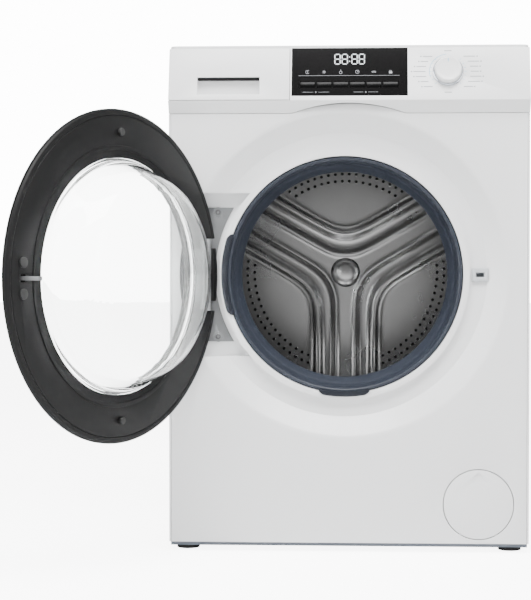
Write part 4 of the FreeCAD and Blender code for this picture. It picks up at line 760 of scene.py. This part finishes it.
def pressing(x, z):
    # how far the sheet stands forward: the arms, a rib at their edges and a bead around them
    shape = drumShape
    gap = armDistance(x, z)
    plateau = shape["plateau"] * (1 - smoothStep(*shape["plateauEdge"], gap))
    rib = shape["rib"] * math.exp(-((gap - shape["ribFrom"]) / shape["ribWidth"]) ** 2)
    bead = shape["bead"] * math.exp(-((gap - shape["beadFrom"]) / shape["beadWidth"]) ** 2)
    fade = 1 - smoothStep(*shape["fade"], math.hypot(x, z))
    return (plateau + rib + bead) * fade


def drumBack():
    shape = drumShape
    mesh = bmesh.new()
    bmesh.ops.create_grid(mesh, x_segments=shape["gridCells"], y_segments=shape["gridCells"],
                          size=backRadius, matrix=Matrix.Rotation(math.pi / 2, 4, "X"))
    outside = [v for v in mesh.verts if math.hypot(v.co.x, v.co.z) > backRadius * shape["gridTrim"]]
    bmesh.ops.delete(mesh, geom=outside, context="VERTS")
    for vert in mesh.verts:
        radius = math.hypot(vert.co.x, vert.co.z)
        if radius > backRadius - shape["rimSnap"]:
            vert.co *= (backRadius - shape["rimInset"]) / radius
        vert.co.y = -pressing(vert.co.x, vert.co.z)
    bmesh.ops.translate(mesh, vec=(mouthX, sheetY, mouthZ), verts=mesh.verts)
    rim = [edge for edge in mesh.edges if edge.is_boundary]
    walls = bmesh.ops.extrude_edge_only(mesh, edges=rim)
    bmesh.ops.translate(mesh, vec=(0, shape["rimDepth"], 0),
                        verts=[item for item in walls["geom"] if isinstance(item, bmesh.types.BMVert)])
    piece = toObject(mesh, "drum_back_pressing", "drum", "drum_steel", smoothAngle=60)
    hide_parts("drum_back")
    cap = spun(shape["hub"], (mouthX, sheetY, mouthZ), 64, closed=False)
    toObject(cap, "drum_hub_cap", "drum", "drum_steel")


holes = {
    "rows": (0.168, 0.181), "pitch": 0.0128, "radius": 0.0026, "armClear": 0.070, "proud": 0.0007,
    "lipGrow": 1.35, "lipHeight": 0.0006, "lipBack": 0.0001,
    "wallGap": 0.0006, "wallRows": 16, "wallCount": 48, "wallFrom": 0.02, "wallPitch": 0.0145,
    "lifters": (30, 150, 270), "lifterClear": 9,
}


def drumHoles():
    # perforations: a near-black disc of painted shade in place of each hole, and on the back of the drum a small
    # pressed lip round it
    dark = bmesh.new()
    lips = bmesh.new()
    facing = Matrix.Rotation(math.pi / 2, 4, "X")
    for row, radius in enumerate(holes["rows"]):
        count = int(2 * math.pi * radius / holes["pitch"])
        for index in range(count):
            angle = 2 * math.pi * (index + 0.5 * row) / count
            x, z = radius * math.cos(angle), radius * math.sin(angle)
            if armDistance(x, z) < holes["armClear"]:
                continue
            place = Matrix.Translation((mouthX + x, sheetY - holes["proud"], mouthZ + z)) @ facing
            bmesh.ops.create_circle(dark, cap_ends=True, segments=12, radius=holes["radius"], matrix=place)
            bmesh.ops.create_cone(lips, cap_ends=False, segments=12,
                                  radius1=holes["radius"] * holes["lipGrow"], radius2=holes["radius"],
                                  depth=holes["lipHeight"],
                                  matrix=Matrix.Translation((0, holes["lipBack"], 0)) @ place)
    # the holes in the drum wall are near-black discs of painted shade too
    wallRadius = backRadius - holes["wallGap"]
    for ring in range(holes["wallRows"]):
        for index in range(holes["wallCount"]):
            angle = 2 * math.pi * (index + 0.5 * (ring % 2)) / holes["wallCount"]
            near = min(abs((math.degrees(angle) - lifter + 180) % 360 - 180) for lifter in holes["lifters"])
            if near < holes["lifterClear"]:
                continue
            direction = Vector((math.cos(angle), 0, math.sin(angle)))
            depth = sheetY - holes["wallFrom"] - ring * holes["wallPitch"]
            centre = Vector((mouthX, depth, mouthZ)) + direction * wallRadius
            turn = Matrix.Rotation(math.pi / 2 - angle, 4, "Y")
            bmesh.ops.create_circle(dark, cap_ends=True, segments=8, radius=holes["radius"],
                                    matrix=Matrix.Translation(centre) @ turn)
    toObject(dark, "drum_holes", "drum", "drum_steel", "hole_painted_shade", 0)
    toObject(lips, "drum_hole_lips", "drum", "drum_steel")


drumBack()
drumHoles()

drumWall = {      # places are radius and depth
    "radius": 0.240, "thick": 0.0015, "back": 0.361, "bend": (0.232, 0.100), "bendOut": 0.0078,
    "bendIn": 0.0063, "bendEnd": 0.101,
    "lipOut": [(0.2025, 0.0925), (0.2045, 0.0922)], "lipIn": [(0.2045, 0.0938), (0.2022, 0.0942)],
}


def drumShell():
    size = drumWall
    outside, inside = size["radius"], size["radius"] - size["thick"]
    profile = size["lipOut"] + arcPoints(size["bend"], size["bendOut"], -90, 0, 6)
    profile += [(outside, size["back"]), (inside, size["back"]), (inside, size["bendEnd"])]
    profile += arcPoints(size["bend"], size["bendIn"], 0, -90, 6) + size["lipIn"]
    mesh = spun(profile, (mouthX, frontY, mouthZ), 128)
    piece = toObject(mesh, "drum_wall", "drum", "drum_steel")
    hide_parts("drum_shell")


drumShell()
roundedNode("lifters", 0.010, 4, 50)
print("drum done")

# door: the ring bead and the glass are built shut and then swung open
doorEdgeAngle = 30


def openPiece(mesh):
    bmesh.ops.transform(mesh, matrix=openDoor, verts=mesh.verts)
    return mesh


roundedNode("door_outer_ring", 0.0022, 3, doorEdgeAngle)
roundedNode("door_bumpers", 0.0012, 3, doorEdgeAngle)
roundedNode("door_inner_ring", 0.0008, 2, doorEdgeAngle)

ringBead = {
    "radius": 0.200,
    "section": ((-0.004, -0.0006), (-0.0035, 0.0012), (0.0005, 0.0016), (0.0030, 0.0012),
                (0.0035, -0.0006)),
}


def innerRingBead():
    # a shallow step that runs round the face of the ring
    step = [(ringBead["radius"] + out, deep) for out, deep in ringBead["section"]]
    mesh = spun(step, (mouthX, doorFaceY, mouthZ), 160)
    toObject(openPiece(mesh), "door_ring_bead", "door", "door_black", smoothAngle=60)


innerRingBead()

bowl = {      # radius and depth
    "rim": [(0.1838, -0.0105), (0.1838, -0.002)], "rimCentre": (0.181, 0.0005), "rimRadius": 0.003,
    "outside": [(0.178, 0.0100), (0.172, 0.022), (0.1672, 0.034), (0.1622, 0.046), (0.1575, 0.0555),
                (0.152, 0.0635), (0.143, 0.070), (0.132, 0.0733), (0.115, 0.0750), (0.080, 0.0758),
                (0.0, 0.0760)],
    "inside": [(0.0, 0.0724), (0.080, 0.0722), (0.114, 0.0714), (0.130, 0.0698), (0.1405, 0.0667),
               (0.1488, 0.0608), (0.1538, 0.0537), (0.1585, 0.0445), (0.1634, 0.033), (0.1683, 0.0205),
               (0.1735, 0.0095), (0.1765, 0.0), (0.1765, -0.0105)],
}


def glassBowl():
    outside = bowl["rim"] + arcPoints(bowl["rimCentre"], bowl["rimRadius"], 0, 60, 4) + bowl["outside"]
    mesh = spun(outside + bowl["inside"], (mouthX, doorFaceY, mouthZ), 160)
    piece = toObject(openPiece(mesh), "door_bowl", "door", "door_glass", smoothAngle=50)
    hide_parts("door_glass")


glassBowl()
print("door done")


# springs and bellows inside
coil = {"radius": 0.012, "wire": 0.0018, "turns": 14, "perTurn": 16, "fromSide": 0.014, "endGap": 0.002}


def coilSprings():
    low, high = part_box("suspension_springs")
    for index, x in enumerate((low.x + coil["fromSide"], high.x - coil["fromSide"])):
        curve = bpy.data.curves.new(f"coil_{index + 1}", "CURVE")
        curve.dimensions = "3D"
        curve.bevel_depth = coil["wire"]
        curve.bevel_resolution = 2
        spline = curve.splines.new("POLY")
        count = coil["turns"] * coil["perTurn"]
        spline.points.add(count)
        middleY = (low.y + high.y) / 2
        for step in range(count + 1):
            angle = 2 * math.pi * step / coil["perTurn"]
            height = low.z + coil["endGap"] + (high.z - low.z - 2 * coil["endGap"]) * step / count
            spline.points[step].co = (x + coil["radius"] * math.cos(angle),
                                      middleY + coil["radius"] * math.sin(angle), height, 1)
        source = bpy.data.objects.new("coilSource", curve)
        scene.collection.objects.link(source)
        bpy.context.view_layer.update()
        data = bpy.data.meshes.new_from_object(source.evaluated_get(bpy.context.evaluated_depsgraph_get()))
        bpy.data.objects.remove(source)
        piece = bpy.data.objects.new(f"coil_spring_{index + 1}", data)
        scene.collection.objects.link(piece)
        data.materials.clear()
        data.materials.append(materials["bearing_steel"])
        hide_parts("suspension_springs")
        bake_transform(piece)


coilSprings()

hoseRibs = {"turns": 7, "depth": 0.003, "perTurn": 6, "core": 0.001}


def bellows(nodeName):
    # a ribbed hose between the cabinet and the tub
    low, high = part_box(nodeName)
    x, y = (low.x + high.x) / 2, (low.y + high.y) / 2
    radius = (high.x - low.x) / 2
    profile = [(hoseRibs["core"], 0.0)]
    steps = hoseRibs["turns"] * hoseRibs["perTurn"]
    for index in range(steps + 1):
        wave = 0.5 - 0.5 * math.cos(2 * math.pi * index / hoseRibs["perTurn"])
        profile.append((radius - hoseRibs["depth"] * wave, (high.z - low.z) * index / steps))
    profile.append((hoseRibs["core"], high.z - low.z))
    mesh = spun(profile, (x, y, low.z), 32, axis=(0, 0, 1))
    piece = toObject(mesh, nodeName + "_ribbed", None, "hose_rubber", smoothAngle=80)
    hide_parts(nodeName)
    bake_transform(piece)


bellows("dispenser_hose")
print("suspension done")

# floor, light and camera
studio = {"floorSize": 14, "floorGrey": 0.90, "floorRough": 0.9, "floorGlow": 0.5,
          "world": 0.42, "backdrop": 14.0}
lights = {      # power, size, place and target
    "topLight": (210, (2.4, 1.4), (0.2, -1.5, 3.0), (0, -0.2, 0.5)),
    "sideLight": (90, (2.0, 2.4), (-2.9, -2.8, 1.7), (0, -0.2, 0.45)),
    "fillLight": (45, (1.8, 2.4), (3.0, -2.4, 1.1), (0, -0.2, 0.45)),
}


def seenRays(tree):
    # 1 for what is seen directly or through the glass, 0 for what only lights the machine
    path = tree.nodes.new("ShaderNodeLightPath")
    either = tree.nodes.new("ShaderNodeMath")
    either.operation = "ADD"
    either.use_clamp = True
    tree.links.new(path.outputs["Is Camera Ray"], either.inputs[0])
    tree.links.new(path.outputs["Is Transmission Ray"], either.inputs[1])
    return either


def addFloor():
    mesh = bmesh.new()
    bmesh.ops.create_grid(mesh, x_segments=1, y_segments=1, size=studio["floorSize"])
    data = bpy.data.meshes.new("floor")
    mesh.to_mesh(data)
    mesh.free()
    floor = bpy.data.objects.new("floor", data)
    scene.collection.objects.link(floor)
    material = bpy.data.materials.new("floorPale")
    material.use_nodes = True
    shader = material.node_tree.nodes["Principled BSDF"]
    level = studio["floorGrey"]
    shader.inputs["Base Color"].default_value = (level, level, level, 1)
    shader.inputs["Roughness"].default_value = studio["floorRough"]
    shader.inputs["Specular IOR Level"].default_value = 0.0
    # the floor glows where it is seen, directly or through the glass
    tree = material.node_tree
    path = seenRays(tree)
    glow = tree.nodes.new("ShaderNodeMath")
    glow.operation = "MULTIPLY"
    glow.inputs[1].default_value = studio["backdrop"] * studio["floorGlow"]
    tree.links.new(path.outputs[0], glow.inputs[0])
    tree.links.new(glow.outputs[0], shader.inputs["Emission Strength"])
    shader.inputs["Emission Color"].default_value = (1, 1, 1, 1)
    data.materials.append(material)


def addLight(name, power, size, place, target):
    light = bpy.data.lights.new(name, "AREA")
    light.energy = power
    light.shape = "RECTANGLE"
    light.size, light.size_y = size
    lamp = bpy.data.objects.new(name, light)
    scene.collection.objects.link(lamp)
    lamp.location = place
    lamp.rotation_euler = (Vector(target) - Vector(place)).to_track_quat("-Z", "Y").to_euler()


def addWorld():
    world = bpy.data.worlds.new("studio")
    scene.world = world
    world.use_nodes = True
    background = world.node_tree.nodes["Background"]
    background.inputs["Color"].default_value = (1, 1, 1, 1)
    path = seenRays(world.node_tree)
    level = world.node_tree.nodes.new("ShaderNodeMapRange")
    level.inputs["To Min"].default_value = studio["world"]
    level.inputs["To Max"].default_value = studio["backdrop"]
    world.node_tree.links.new(path.outputs[0], level.inputs["Value"])
    world.node_tree.links.new(level.outputs["Result"], background.inputs["Strength"])


addFloor()
addWorld()
for name, values in lights.items():
    addLight(name, *values)

view = {"place": (0.014, frontY - 3.0, 0.5), "aim": (-0.1371, frontY, 0.4174), "lens": 108.96, "sensor": 36}


def addCamera():
    data = bpy.data.cameras.new("camera")
    data.lens = view["lens"]
    data.sensor_width = view["sensor"]
    camera = bpy.data.objects.new("camera", data)
    scene.collection.objects.link(camera)
    camera.location = view["place"]
    direction = Vector(view["aim"]) - Vector(view["place"])
    camera.rotation_euler = direction.to_track_quat("-Z", "Y").to_euler()
    scene.camera = camera


addCamera()
print("scene done")
